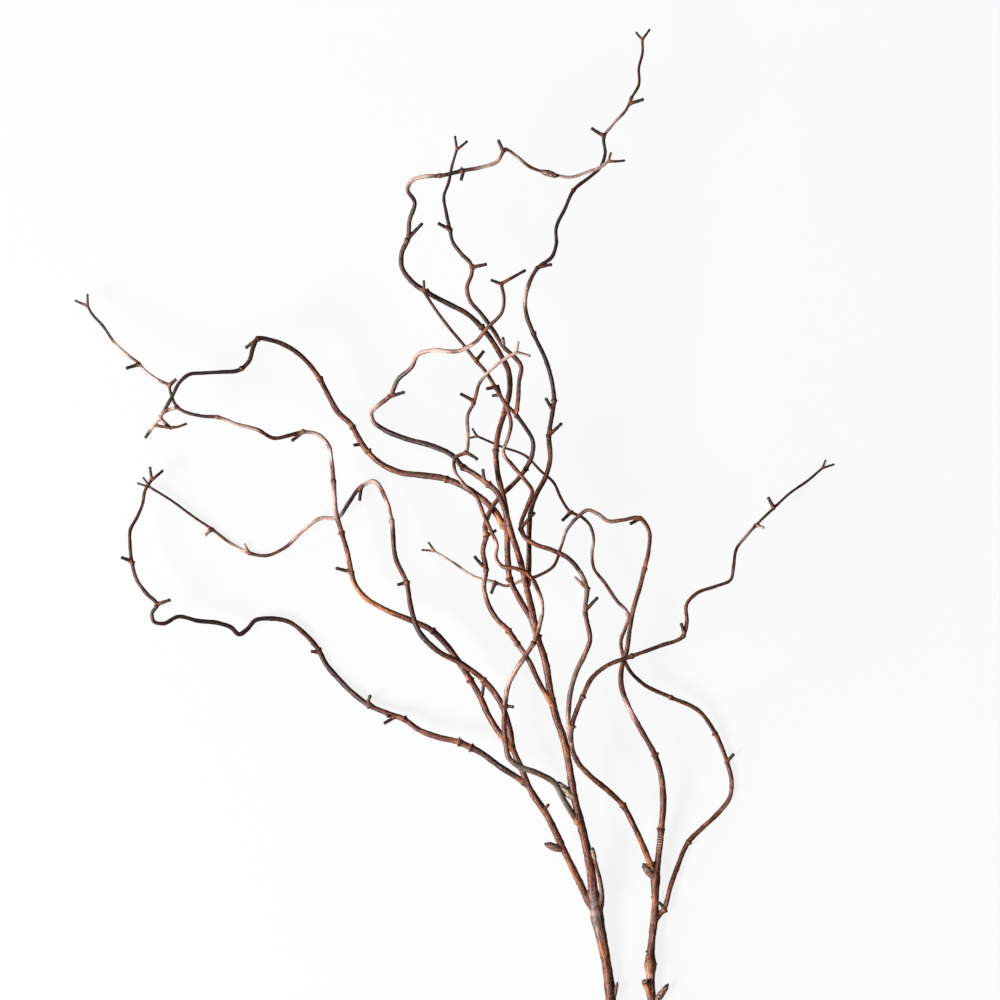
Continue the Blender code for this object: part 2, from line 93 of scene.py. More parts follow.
TRUNK_RADIUS = 4.0  # wood at least this thick at its root has a trunk's sides
BRANCH_RADIUS = 2.95  # and at least this thick a branch's
FLUTES = ((2, 0.034), (3, 0.026), (5, 0.016))  # waves round a section, and how deep
THICKER_THINNER = ((41.0, 0.035), (17.0, 0.03), (7.3, 0.022))  # waves along the wood
ANY_PHASE = (0.0, 6.28)  # radians, between which a wave's start is drawn
ANY_SIDE = (0.0, 2 * math.pi)

NODE_SWELL = 0.38
NODE_VARIES = (0.7, 1.2)  # the share of that swelling, drawn for each node
NODE_LEAN = 0.45  # how much more it swells on one side
NODE_REACH = 2.6  # how far below a node its swelling begins
NODE_FALL = 0.75  # and how soon past it the wood is thin again
NODE_RINGS = (-2.6, -1.7, -1.0, -0.55, -0.2, 0.15, 0.5, 0.9, 1.4, 2.2)
SCAR_AHEAD = 0.5  # the ring scar lies this far past the node's middle
SCAR_DEPTH = 0.13  # the groove round a node
SCAR_WIDTH = 0.33
CORK_WIDTH = 0.6  # the dark cork in and beside that groove
CORK_ROUND = 0.35  # how strong it is all round the wood
CORK_AT_LEAF = 0.55  # and how much stronger where the leaf sat
CORK_SPREAD = 1.4  # in radians
LEAF_SCAR_RISE = 0.85  # the small shelf under the groove, on one side only
LEAF_SCAR_BELOW = 0.9
LEAF_SCAR_LENGTH = 0.8
LEAF_SCAR_SPREAD = 0.85  # in radians round the wood
LEAF_SCAR_WOOD = 2.2  # the radius of the wood that has a shelf of that rise
OLD_BARK = 0.45  # how corky the wood just below a node is
OLD_REACH = 3.0  # and over how much wood that fades
YOUNG_REACH = 8.0  # past a node the wood is younger and paler, and fades over this length
YOUNG_BARK = (0.2, 0.6)  # how strongly, drawn for each node
YOUNG_START = 0.6  # how far past the node it begins
COLLAR_SWELL = 0.3
COLLAR_REACH = 3.0  # how far outside the parent wood the collar's middle lies
COLLAR_FADE = 1.8
COLLAR_SCAR_AHEAD = 1.4  # and how far past it its ring scar
COLLAR_CORK = 0.7
COLLAR_YOUNG = 0.6
RIDGE_SPACING = 2.7  # from one fine ridge round the wood to the next
RIDGE_STEP = 0.4  # how close the rings of points lie there
RIDGE_FADE = 0.75  # of their reach, over which the ridges fade
WART_RISE = 0.15  # as a share of the wood's radius
WART_VARIES = (0.3, 1.3)  # the share of that rise, drawn for each wart
WART_LENGTH = 1.3
WART_SPREAD = 0.8
WART_SPACING = 6.0
DOME_RINGS = (0.9, 0.78, 0.66, 0.54, 0.42, 0.3, 0.18, 0.09, 0.03)  # shares of a rounded tip
TIP_LENGTH = 9.0  # how far from a twig's end its wood turns dark
TIP_DARK = 0.9
THIN_DARK = 0.55  # how strongly the thinnest wood is patched with dark
THIN_RADIUS = 2.2  # it begins under this radius
THIN_RANGE = 0.9  # and is strongest this much below it

STUB_RADIUS = 2.0
STUB_LENGTH = 9.0  # a shorter stub is thinner too
STUB_SIDES = 12
STUB_RINGS = 13
STUB_TAPER = 0.2
STUB_FLARE = 0.3
STUB_FLARE_LENGTH = 1.4
STUB_BEND = 0.225
STUB_SUNK = 0.6  # where it flares, as a share of the wood's radius from its root
STUB_LIP = (0.9, 0.07, 0.1)  # (place, reach, rise) as shares of its length and width
STUB_NECK = (0.72, 0.05, 0.08)
STUB_LUMPS = 0.05
STUB_TIP = ((0.97, 0.86), (0.99, 0.62), (1.0, 0.3))  # its blunt end, as shares of length and width
END_SPREAD = 2.0  # how far one prong's tip rises and the other's drops
END_WIDTH = 1.05  # a prong's radius, as a share of the twig's

BUD_OUTLINE = ((0.0, 0.5), (0.16, 0.8), (0.38, 1.0), (0.66, 0.92), (0.86, 0.62), (1.0, 0.2))
BUD_SIDES = 16
BUD_RINGS = 16
SCALES_PER_MM = 0.95
FEWEST_SCALES = 7
SCALE_GRID = 7  # points along a scale, and across it
SCALE_LENGTH = 0.34  # as a share of the bud's
SCALE_WIDTH = math.radians(58)  # how far it wraps to either side
SCALE_SUNK = 0.45  # how deep its inner side lies, as a share of the bud's radius
SCALES_FROM = 0.02  # where on the bud the scales begin, as a share of its length
SCALES_OVER = 0.66  # and over how much of it they are spread
SCALE_PATTERN_GAP = 50.0  # keeps one scale's fibres apart from the next one's
GOLDEN_TURN = math.radians(137.5)

FILLET_SHARE = 0.8  # of the wood's radius, over which the crease at a fork is smoothed
FILLET_ROUNDS = 14
FILLET_PULL = 0.6
NEW_POINT = 1e-6  # metres from any grown point, beyond which a point came from the union
NEAR_POINTS = 4  # grown points that a new one takes its marks from
NEAREST_GAP = 1e-5  # metres added to each gap, so that none is zero
SHARP_EDGE = math.radians(55)
CUT_FACE_SHARE = 0.87  # of the wood's radius, where the bark's edge begins
CUT_FACE_SIDES = 36
CUT_FACE_DEPTH = 0.8  # how deep the face's own wood goes into the stem
FRESH_PITH = 0.75  # the radius of the pith
OLD_PITH_SHADE = 1.7  # and of the hollow in the cut spur, which is painted near black as its shade, though the face barely dips there
PATTERN_GAP = 700.0  # keeps one branch's bark pattern apart from the next one's
STUB_PATTERN = 0.07  # and its stubs' patterns apart, as a share of that gap
END_PATTERN = 0.5
STUB_DRAWS = 500  # added to the seed for the stubs, and for the buds
BUD_DRAWS = 900


class Branch(NamedTuple):
    """A branch: its radius at the root, half way and at the tip, its route, and what grows on it.

    A stub is (root x, root y, tip x, tip y, rise), and a bud has its half width and its
    paleness after that. The ends are the tips of the two short prongs that close a twig, a
    bulge is (x, y, reach, rise), and fine ridges round the wood are (x, y, reach, depth).
    """

    radii: tuple
    route: tuple
    stubs: tuple = ()
    buds: tuple = ()
    ends: tuple = ()
    bulges: tuple = ()
    ridges: tuple = ()
    dome: float = 0.0  # the length over which the tip is rounded off inside a fork
    collar: float = 0.0  # the parent's radius, where the branch has a collar


LEFT_STEM = {
    "trunk": Branch(
        (5.5, 5.2, 5.1),
        (
            (602, 1172, 5.0), (605, 1130, 5.0), (611, 1085, 5.0), (613, 1035, 5.0),
            (611, 999, 5.3), (606, 960, 6.6), (602, 940, 8), (598, 920, 10.5),
            (597, 910, 13), (596.3, 902, 16),
        ),
        buds=((612, 1010, 618.5, 984, 3, 1.7, 0.0),),
        bulges=((598, 914, 25, 1.7),),
        dome=12.0,
    ),
    "fork_shoot": Branch(
        (2.4, 2.1, 1.8),
        ((600, 914, 12), (602, 902, 17), (600.5, 882, 23), (597, 868, 27.5), (595, 861, 29)),
        buds=((596, 863, 592.5, 848, 2, 2.1, 0.3),),
        bulges=((601, 909, 11, 1.0),),
    ),
    "low_branch": Branch(
        (3.7, 2.5, 1.2),
        (
            (598, 914, 11.5), (588, 900, 14.5), (578, 880, 18), (564, 851, 22),
            (547, 816, 27), (530, 790, 30), (521, 768, 31), (514, 752, 31),
            (509, 728, 32.5), (499, 700, 35.5), (483, 680, 38, NODE), (463, 665, 41),
            (436, 650, 42.5), (418, 630, 43), (411, 609, 41.5), (406, 582, 38, NODE),
            (396, 560, 34.5), (391, 520, 28, NODE), (385, 498, 23), (373, 481, 19),
            (361, 486, 17, NODE), (348, 503, 15), (338, 517, 14), (318, 519, 12.5),
            (303, 530, 10), (282, 549, 5.5), (265, 556, 2.8), (247, 553, 1.5, NODE),
            (230, 544, 1.6), (210, 529, 2.6, NODE), (192, 517, 4), (169, 500, 5),
            (148, 487, 5.5),
        ),
        stubs=(
            (484, 681, 482, 697, -2), (405, 582, 397, 585, 2), (361, 486, 359, 501, 4),
            (247, 553, 243, 544, 4), (210, 529, 203, 536, 3), (543, 811, 548.8, 805, 4),
        ),
        buds=((562, 853.5, 544.6, 844.6, 6, 3.5, 0.1),),
        bulges=((596, 909, 13, 1.5),),
        ends=((141, 477), (135, 483)),
    ),
    "left_spray": Branch(
        (3.15, 2.4, 1.6),
        (
            (528, 787, 30), (521, 781, 30), (501, 768, 29), (478, 752, 26),
            (470.5, 748.4, 24.8, NODE), (459, 743, 23, NODE), (438, 738, 19.5),
            (419, 731, 16), (403, 720, 12.5, NODE),
            (389, 715, 10), (368, 706, 6.5, NODE), (352, 694, 4), (338, 680, 2.4),
            (325, 665, 1.9), (317, 650, 2.0, NODE), (301, 632, 3.5), (289, 623, 5),
            (268, 619, 7.5), (254, 621, 10), (246, 630, 12.5), (238, 635, 15),
            (230, 628, 17.5), (219, 624, 20), (196, 621, 25), (177, 617, 29),
            (162, 624, 33), (153, 622, 35), (151, 614, 36.5), (156, 605, 38, NODE),
            (146, 594, 39.5), (136, 580, 40), (131, 562, 39, NODE), (129, 543, 36.5),
            (129, 531, 34), (136, 517, 30), (141, 505, 26.5), (144, 490, 22.5),
            (150, 480, 20),
        ),
        stubs=(
            (459, 743, 459.4, 738, 3), (395, 717.6, 383.2, 724.8, 3), (394, 717, 386, 717.4, 3),
            (368.5, 706, 370, 696, 4), (319, 654, 310, 652, 3), (156, 605, 170, 600, 3),
            (131, 562, 120, 557.5, 3),
        ),
        ends=((148.5, 466.5), (162, 470)),
        collar=3.1,
    ),
    "left_loop": Branch(
        (3.4, 2.2, 1.3),
        (
            (514, 752, 31), (507, 743, 31.5), (497, 730, 31.5), (488, 715, 31),
            (480, 697, 30), (470, 680, 28.5, NODE), (461, 666, 28), (446, 645, 28.5),
            (432, 631, 29, NODE), (409, 620, 29.5), (385, 610, 30), (364, 597, 31),
            (354, 583, 32), (351, 572, 33, NODE), (347, 552, 34), (341, 532, 34.5, NODE),
            (336, 514, 34), (333, 480, 33, NODE), (331, 460, 34), (328, 445, 36),
            (319, 435, 39), (302, 432, 44, NODE), (290, 435, 47.5), (273, 438, 52),
            (258, 430, 56), (236, 424, 59), (217, 417, 60, NODE), (202, 416, 60),
            (176, 406, 56, NODE), (170, 392, 53), (168, 385, 51, NODE), (160, 381, 49),
            (143, 369, 44), (138, 363, 42, NODE), (130, 357, 39.5), (114, 343, 34),
            (102, 326, 28.5), (89, 311, 23), (86, 305, 21.5),
        ),
        stubs=(
            (500, 735, 486.5, 716, -3), (351, 572, 335, 568, 3), (302, 432, 291, 441, 3),
            (168, 386, 176, 379, 3), (138, 364, 125, 368, 3),
        ),
        ends=((86, 293), (73, 299.5)),
        collar=3.0,
    ),
    "main_rise": Branch(
        (4.9, 3.8, 3.3),
        (
            (599, 922, 10), (594.5, 900, 14.5), (591, 870, 22), (587, 850, 27),
            (582, 828, 32), (575, 800, 38.5), (568, 760, 46), (564, 740, 49.5),
            (557, 720, 53), (551, 695, 57.5), (545, 660, 62.5), (537, 636, 66.5, NODE),
            (534, 627, 68.5),
        ),
        buds=((573.5, 801.5, 557.5, 782.5, 7.4, 3.7, 1.0),),
        bulges=((597, 909, 16, 1.6),),
    ),
    "arching_branch": Branch(
        (3.3, 2.55, 1.7),
        (
            (537, 636, 66.5), (533, 614, 72), (528, 593, 79), (521, 563, 87),
            (511, 532, 94), (503, 505, 99), (496, 491, 101), (488, 484, 99, NODE),
            (473, 473, 92), (463, 467, 87, NODE), (453, 456, 80.5), (432, 446, 73),
            (404, 438, 67), (383, 429, 63), (373, 421, 62), (371, 413, 62.5),
            (380, 404, 66), (390, 396, 70, NODE), (398, 380, 77), (412, 367, 87),
            (418, 355, 93), (430, 351, 98), (460, 351, 109), (474, 344, 114),
            (488, 328, 120), (502, 313, 125), (504, 300, 129), (501, 285, 132),
        ),
        stubs=((484, 482, 483, 469, 4), (390, 397, 405, 392, 3)),
        ends=((490.5, 281), (526, 271)),
    ),
    "tall_branch": Branch(
        (3.1, 2.6, 1.4),
        (
            (537, 636, 66.5), (531, 619, 69.5), (519, 598, 71), (509.7, 578, 72, NODE),
            (508, 560, 72.5), (507, 527, 75), (506, 510, 79.5), (503, 496, 83),
            (498, 475, 85), (496, 450, 85, NODE), (498, 435, 84.5), (504, 414, 83.5),
            (510, 387, 84), (508, 370, 86), (501, 356, 89), (492, 341, 92.5),
            (481, 327, 95.5, NODE), (467, 314, 98), (450, 305, 99), (426, 292, 98.5, NODE),
            (413, 283, 98), (402, 267, 98.5), (402, 254, 100), (408, 240, 102.5, NODE),
            (410, 221, 107), (415, 203, 111), (408, 190, 114), (412, 182, 115.5),
            (424, 178, 117), (441, 177, 118, NODE), (463, 172, 118, NODE),
            (480, 169, 116.5), (497, 163, 113.5), (506, 151, 110, NODE), (517, 158, 107.5),
            (530, 168, 104.5), (549, 174, 101), (570, 178, 97), (589, 172, 93.5),
            (600, 168, 91.5), (608, 162, 90),
        ),
        stubs=((408, 240, 423, 224, 3), (463, 172, 461, 182, 3), (503, 152, 498, 141, 3)),
        buds=((540, 171.5, 558.5, 177.5, 1, 2.8, 0.0),),
        ends=((611, 153), (625, 161)),
    ),
    "low_curl": Branch(
        (3.4, 2.6, 1.6),
        (
            (507, 530, 75.5), (502, 523, 72), (497, 514, 68), (486, 502, 62),
            (469, 489.5, 57.5), (446, 479, 52, NODE), (420, 475, 46.5), (399, 472, 42.5),
            (380, 463, 38.5), (367, 451, 35.5, NODE), (356, 434, 33), (352, 426, 33, NODE),
            (337, 411, 34), (328, 395, 37), (319, 378, 41, NODE), (307, 362, 45),
            (292, 349, 49), (271, 340, 53), (257, 339, 56, NODE), (253, 347, 58),
            (249, 361, 61), (241, 369, 63, NODE), (220, 372, 66.5), (204, 373, 68.5),
            (188, 375, 70), (180, 382, 70.5), (172, 397, 70), (160, 417, 67, NODE),
            (154, 425, 65.5), (145, 438, 63),
        ),
        stubs=(
            (362, 443, 353, 445, 3), (257, 339, 245, 348, -3), (164, 412, 176, 408, 3),
            (160, 418, 172, 429, -3),
        ),
        collar=3.0,
    ),
    "low_curl_twiglet": Branch(
        (1.7, 1.5, 1.3),
        ((154, 425, 65.5), (165, 427, 68), (177, 427, 69), (187, 423.5, 70)),
    ),
    "high_branch": Branch(
        (2.7, 2.05, 1.3),
        (
            (527, 590, 80), (528.5, 576, 80), (529, 557, 77), (529, 532, 75),
            (531, 511, 74), (537, 493, 74), (545, 478, 74.5), (550, 460, 75),
            (549, 435, 76, NODE), (552, 415, 78), (554, 400, 79, NODE), (552, 382, 81),
            (546, 361, 84), (533, 333, 88, NODE), (527, 317, 89.5), (525, 300, 91),
            (528, 287, 92), (538, 268, 93, NODE), (552, 257, 93), (556, 245, 92),
            (556, 229, 90), (565, 209, 87), (574, 190, 83, NODE), (590, 177, 79),
            (600, 168, 75.5), (605, 155, 73), (604, 137, 69, NODE), (613, 124, 65.5),
            (626, 110, 61), (632, 97, 57, NODE), (639, 84, 52.5), (639, 68, 48.5),
            (643, 50, 44.5), (642.5, 39, 43),
        ),
        stubs=(
            (549, 435, 562, 423, 3), (552, 410, 545.5, 398, 3), (538, 268, 552, 265, 3),
            (604, 136, 591, 128, 3), (630, 103, 644, 99, 3),
        ),
        ends=((636, 31), (650.5, 28)),
        collar=2.7,
    ),
    "front_branch": Branch(
        (3.2, 2.1, 1.6),
        (
            (582, 828, 32), (575, 818, 36), (565, 802, 42), (554, 783, 47),
            (536, 773, 50), (518, 766, 52), (509, 758, 54), (506, 745, 55),
            (504, 725, 57), (505, 706, 60, NODE), (508, 686, 65), (516, 670, 70),
            (526, 655, 75.5), (534, 642, 79.5, NODE), (540, 623, 83), (542, 605, 86),
            (538, 590, 90), (528, 574, 95), (515, 568, 97), (502, 566, 97),
            (496, 558, 96.5), (497, 545, 94.5), (491, 531, 91.5), (484, 515, 89.5),
            (476, 496, 89), (463, 483, 90), (455, 471, 91.5), (455, 458, 92.5),
            (466, 452, 94, NODE), (468, 435, 97), (468, 415, 101), (474, 403, 104, NODE),
            (480, 383, 108), (491, 370, 110.5), (504, 360, 111.5), (516, 353, 112),
        ),
        stubs=((505, 706, 514, 707, 2), (467, 454, 478, 460, 2), (473, 402, 460, 394, 2)),
        ends=((518, 342), (530.5, 357)),
        collar=3.9,
    ),
    "middle_branch": Branch(
        (2.7, 2.4, 1.5),
        (
            (554, 707, 56), (547, 696, 59.5), (538, 680, 63), (529, 661, 66),
            (517, 643, 68, NODE), (508, 630, 68.5, NODE), (497, 619, 68), (489, 606, 67),
            (484, 588, 66), (486, 569, 66, NODE), (483, 550, 67), (486, 536, 69, NODE),
            (485, 526, 70.5), (488, 516, 71.5), (495, 503, 73), (504, 493, 74),
            (518, 479, 77.5), (526, 468, 81, NODE), (532, 455, 85.5), (533, 442, 89),
            (525, 427, 92.5), (516, 415, 95.5, NODE), (504, 402, 98.5),
            (495, 387, 100, NODE), (485, 371, 101.5), (476, 361, 102.5, NODE),
            (465, 347, 103.5), (449, 328, 105), (435, 309, 106), (424, 292, 107),
        ),
        stubs=(
            (486, 569, 474, 556, 3), (486, 536, 496.5, 530, -2), (495, 387, 486, 389, 3),
            (476, 361, 484, 351, -3),
        ),
        ends=((424, 281), (414, 284)),
        collar=3.6,
    ),
    "middle_twig": Branch(
        (2.2, 2.1, 1.4),
        (
            (516, 415, 95.5), (518, 400, 97), (519, 382, 98.5), (521, 366, 99.5),
            (514, 357, 100), (504, 348, 100.5), (494, 332, 102), (481, 314, 104),
            (470, 301, 105.5), (467, 289, 106), (472, 274, 106.5), (472, 267, 107, NODE),
            (461, 254, 108), (453, 243, 108.5), (450, 230, 109, NODE), (446, 212, 109),
            (444, 198, 109), (449, 183, 109), (452, 168, 109), (457, 151, 110),
        ),
        stubs=((472, 268, 487, 265, 3), (450, 230, 438, 224, 3)),
        buds=((503, 347, 503, 337, 3, 1.8, 0.2),),
        ends=((455, 137), (468, 142)),
        collar=1.8,
    ),
}

RIGHT_STEM = {
    "trunk": Branch(
        (4.9, 2.65, 1.2),
        (
            (664, 1165, 4.4), (661, 1125, 4.35), (656, 1080, 4.25), (653, 1040, 4.15),
            (652.5, 999, 4.6), (651, 966, 5.7), (653, 940, 5.9), (656, 912, 6.6),
            (656, 885, 8), (659, 860, 10.5), (662, 830, 14.5, NODE), (664, 800, 19),
            (661, 773, 22.5), (655, 755, 25, NODE), (644, 735, 28), (628, 705, 32.5),
            (622, 688, 34.5), (622, 668, 36.5), (627, 652, 38), (630, 630, 39.5),
            (634, 608, 41), (640, 588, 42.5), (645, 568, 43.5, NODE), (649, 550, 44.5),
            (649, 530, 45), (640, 518, 46, NODE), (623, 520, 46.5), (608, 521, 46.5),
            (598, 514, 46.5), (588, 510, 46), (578, 517, 46), (567, 530, 46.5),
            (561, 547, 47.5), (553, 567, 48.5), (540, 575, 49.5), (521, 581, 50),
            (506, 586, 50), (494, 582, 49.5, NODE), (475, 577, 47.5), (455, 564, 44.5),
            (434, 551, 41),
        ),
        stubs=(
            (640, 518, 630, 524, 3), (495, 583, 491, 594, 3), (652, 955, 646.5, 953.6, 2),
            (656, 900, 651.8, 898.6, 2), (652, 968, 658, 966, 3),
        ),
        buds=((656, 1010, 669.4, 986, 3, 2.9, 0.0), (654.5, 880.5, 643.4, 865.0, 5, 4.0, 0.0)),
        bulges=((651, 968, 9.5, 2.4), (655.5, 883, 10, 1.2)),
        ridges=((660.5, 842, 13, 0.24),),
        ends=((428, 542), (421, 550)),
    ),
    "cut_spur": Branch(
        (3.2, 2.9, 2.9),
        ((652, 1004, 4.5), (648.5, 992, 7), (646, 985.5, 9.5), (645.2, 983.4, 11.4)),
        bulges=((646, 986, 2.0, 0.5),),
    ),
    "right_branch": Branch(
        (3.1, 2.1, 1.2),
        (
            (656, 881, 8.5), (650.6, 865, 12.8, NODE), (644, 848, 18), (634, 826, 24),
            (623, 806, 29.5, NODE), (609, 792, 35), (590, 776, 42), (577, 761, 46.5),
            (572.6, 750, 49), (571.2, 738, 51), (572, 726, 52.5, NODE), (577, 710, 54.5),
            (583, 696, 56, NODE), (593, 677, 57), (605, 667, 58), (633, 656, 58.5, NODE),
            (660, 646, 58.5), (684, 635, 58.5, NODE), (687, 622, 58), (687, 604, 57),
            (696, 594, 56), (717, 586, 52.5), (731, 580, 49.5), (734, 566, 45.5),
            (737, 549, 40), (746, 537, 34.5), (757, 525, 29, NODE), (775, 508, 21, NODE),
            (790, 494, 15), (810, 480, 7), (824, 468, 2.5),
        ),
        stubs=((685, 634, 681, 623, 3), (757, 525, 765, 528, 3), (775, 508, 769, 497, 3)),
        ends=((827.5, 459.5), (836.5, 464)),
        collar=3.8,
    ),
    "under_branch": Branch(
        (2.6, 2.0, 1.2),
        (
            (654, 928, 6), (660, 917, 6), (665, 911, 5.8, NODE), (668, 902, 5.2),
            (671, 890, 4.5), (678, 870, 3.5), (690, 843, 2.6, NODE), (703, 830, 2.2),
            (720, 814, 1.9), (731, 799, 1.9), (733, 783, 2.2), (728, 763, 3.5, NODE),
            (716, 734, 6.5, NODE), (700, 712, 10), (671, 698, 15, NODE), (643, 684, 20),
            (630, 671, 22.5), (623, 655, 24.5), (621.5, 641, 25.5), (626, 628, 26),
            (628, 614, 26, NODE), (617, 601, 26), (605, 583, 26), (594, 568, 27),
            (592.5, 552, 28), (594, 540, 28.5), (590, 525, 30), (582, 517, 31),
            (571, 512, 32, NODE), (561, 498, 34), (554, 483, 36), (541, 471, 38),
            (526, 456, 41), (500, 446, 44.5), (477, 436, 48),
        ),
        stubs=((665, 911, 660, 904, 3), (728, 763, 735, 755, 3), (571, 512, 562, 521, 3)),
        ends=((472, 428), (468, 438)),
    ),
    "front_twig": Branch(
        (2.5, 2.4, 1.8),
        (
            (571.9, 743, 50.5), (569, 731, 53), (568.5, 712, 57), (571, 690, 61.5),
            (576, 673, 66), (585, 654, 70.5), (590, 640, 74), (587, 622, 77),
            (585, 612, 78.5, NODE), (586.5, 588, 82, NODE), (580, 572, 84),
            (568, 558, 85.5), (552, 550, 86), (533, 543, 86.5), (524, 536, 86.5),
            (521, 528, 86.5, NODE), (527, 507, 86.5), (532, 491, 87), (524, 479, 88),
            (513, 466, 89), (503.5, 453, 89.5), (508, 438, 90.5), (511, 424, 91.5),
            (508, 411, 92), (500, 395, 93),
        ),
        stubs=((585, 611, 598, 597, 3), (586, 588, 574, 577, 3), (522, 528, 535, 512, 3)),
        ends=((497.5, 385), (492, 396)),
    ),
}

# Stretches of dark, pale, ochre and grey bark, as (across, down, reach, strength) on the sheet. The pale
# ones are partly dry pale bark and partly painted highlight.
# The two trunks share a name here, and lie too far apart to take each other's.
DARK = {
    "left_spray": (
        (500, 768, 50, 0.81), (335, 677, 61, 1.08), (262, 620, 44, 0.94), (207, 622, 50, 1.35),
        (151, 600, 28, 0.81), (130, 545, 44, 0.68),
    ),
    "low_branch": (
        (418, 629, 44, 0.81), (400, 572, 33, 0.68), (170, 501, 38, 0.81), (353, 497, 11, 1.08),
        (343, 511, 7, 1.35),
    ),
    "left_loop": (
        (433, 632, 20, 0.68), (290, 436, 15, 0.68), (196, 414, 17, 0.95), (172, 396, 8, 0.8),
        (97, 320, 15, 1.0),
    ),
    "low_curl": (
        (270, 342, 44, 0.94), (215, 373, 44, 1.35), (174, 394, 24, 1.35), (426, 476, 33, 0.54),
        (147, 434, 5, 0.9),
    ),
    "arching_branch": ((436, 448, 38, 0.94), (397, 435, 31, 1.08), (400, 378, 13, 0.81)),
    "tall_branch": (
        (440, 298, 38, 0.94), (404, 250, 44, 0.68), (455, 173, 13, 1.3), (414, 205, 16, 0.9),
        (475, 320, 22, 0.68),
    ),
    "high_branch": (
        (549, 372, 66, 0.94), (529, 322, 20, 0.81), (559, 225, 61, 1.3), (604, 150, 17, 1.3),
        (640, 62, 28, 0.85),
    ),
    "middle_branch": ((530, 440, 31, 1.08), (457, 338, 31, 0.41)),
    "middle_twig": ((485, 322, 33, 0.68), (450, 215, 62, 1.15), (455, 150, 20, 1.3)),
    "right_branch": ((655, 648, 33, 0.68), (705, 590, 33, 0.54), (790, 495, 44, 0.54)),
    "under_branch": ((692, 840, 22, 0.3), (652, 690, 44, 0.47), (552, 481, 24, 0.94)),
    "front_twig": ((578, 567, 18, 0.81),),
    "trunk": ((575, 525, 26, 0.35), (622, 688, 26, 0.3)),
    "cut_spur": ((645, 982, 2.6, 1.2),),
}
# Pale stretches: partly dry pale bark, partly painted highlight where the wood glints.
PALE_AND_HIGHLIGHT = {
    "low_branch": (
        (372, 481, 10, 1.26), (326, 517, 12, 1.4), (304, 529, 17, 1.4), (388, 512, 17, 0.84),
        (238, 549, 11, 0.84), (204, 535, 5, 1.2), (243, 545, 5, 1.2),
    ),
    "left_loop": (
        (331, 500, 19, 0.7), (316, 434, 14, 1.4), (330, 455, 8, 0.98), (237, 424, 17, 1.68),
        (150, 374, 12, 1.6), (120, 349, 11, 1.12),
    ),
    "arching_branch": ((375, 412, 11, 0.98), (430, 351, 19, 0.98), (466, 348, 12, 0.7)),
    "tall_branch": (
        (420, 179, 13, 1.0), (490, 166, 13, 1.0), (516, 157, 12, 0.7), (560, 177, 19, 1.54),
        (590, 171, 17, 1.68),
    ),
    "low_curl": ((158, 419, 8, 1.26), (154, 426, 6, 1.26), (176, 408, 6, 1.3)),
    "high_branch": ((526, 297, 10, 0.84), (613, 123, 14, 0.84)),
    "front_branch": (
        (512, 682, 24, 0.7), (540, 608, 19, 0.56), (496, 550, 19, 0.7), (461, 479, 14, 0.7),
        (468, 432, 17, 0.56), (500, 362, 24, 1.26), (523, 349, 15, 1.3),
    ),
    "middle_branch": ((523, 652, 14, 0.49), (484, 585, 17, 0.49)),
    "right_branch": ((572, 735, 12, 0.42), (747, 536, 11, 0.84), (763, 528, 6, 1.2)),
    "under_branch": ((628, 616, 12, 0.84), (593, 548, 14, 0.7)),
    "front_twig": ((569, 723, 17, 0.56), (506, 446, 14, 0.49), (576, 579, 7, 1.1)),
    "trunk": (
        (631, 710, 19, 0.63), (600, 515, 17, 0.56), (566, 531, 17, 0.84), (514, 583, 17, 0.7),
        (474, 576, 19, 1.12), (445, 558, 14, 0.84), (595.5, 913, 5, 0.5), (650.5, 978, 5, 0.4),
    ),
}
OCHRE = {
    "left_loop": ((372, 603, 30, 0.9), (505, 741, 10, 0.8), (351, 560, 14, 0.5)),
    "low_branch": ((572, 868, 22, 0.35), (402, 575, 12, 0.8), (545, 812, 16, 0.4)),
    "left_spray": ((520, 781, 10, 0.8),),
    "main_rise": ((566, 750, 22, 0.35), (540, 645, 14, 0.5)),
    "low_curl": ((501, 522, 11, 0.9), (369, 452, 10, 0.5)),
    "middle_branch": ((549, 700, 11, 0.9), (510, 633, 10, 0.5)),
    "front_branch": ((536, 640, 9, 0.4),),
    "high_branch": ((528, 580, 9, 0.6), (551, 405, 10, 0.5)),
    "right_branch": ((650, 864, 13, 1.0), (642, 845, 9, 0.5)),
    "trunk": ((652, 972, 10, 0.6), (655, 905, 14, 0.4), (604, 950, 9, 0.55)),
    "cut_spur": ((647, 988, 12, 0.9),),
    "under_branch": ((664, 912, 7, 0.5),),
}
BLOOM = {
    "front_branch": ((560, 795, 26, 0.9), (520, 766, 20, 0.9)),
    "front_twig": ((574, 680, 30, 0.5), (586, 600, 22, 0.6)),
    "trunk": ((599, 926, 16, 0.6),),
    "main_rise": ((595, 903, 11, 0.5),),
    "low_branch": ((594, 908, 8, 0.5),),
    "fork_shoot": ((601, 893, 10, 0.6),),
}


def sheet_to_frame(points):
    """Sheet millimetres (across, down, height) as millimetres along the frame's axes."""
    places = np.array(points, float)
    places[..., 0] -= SHEET_ORIGIN[0]
    places[..., 1] = SHEET_ORIGIN[1] - places[..., 1]
    return places


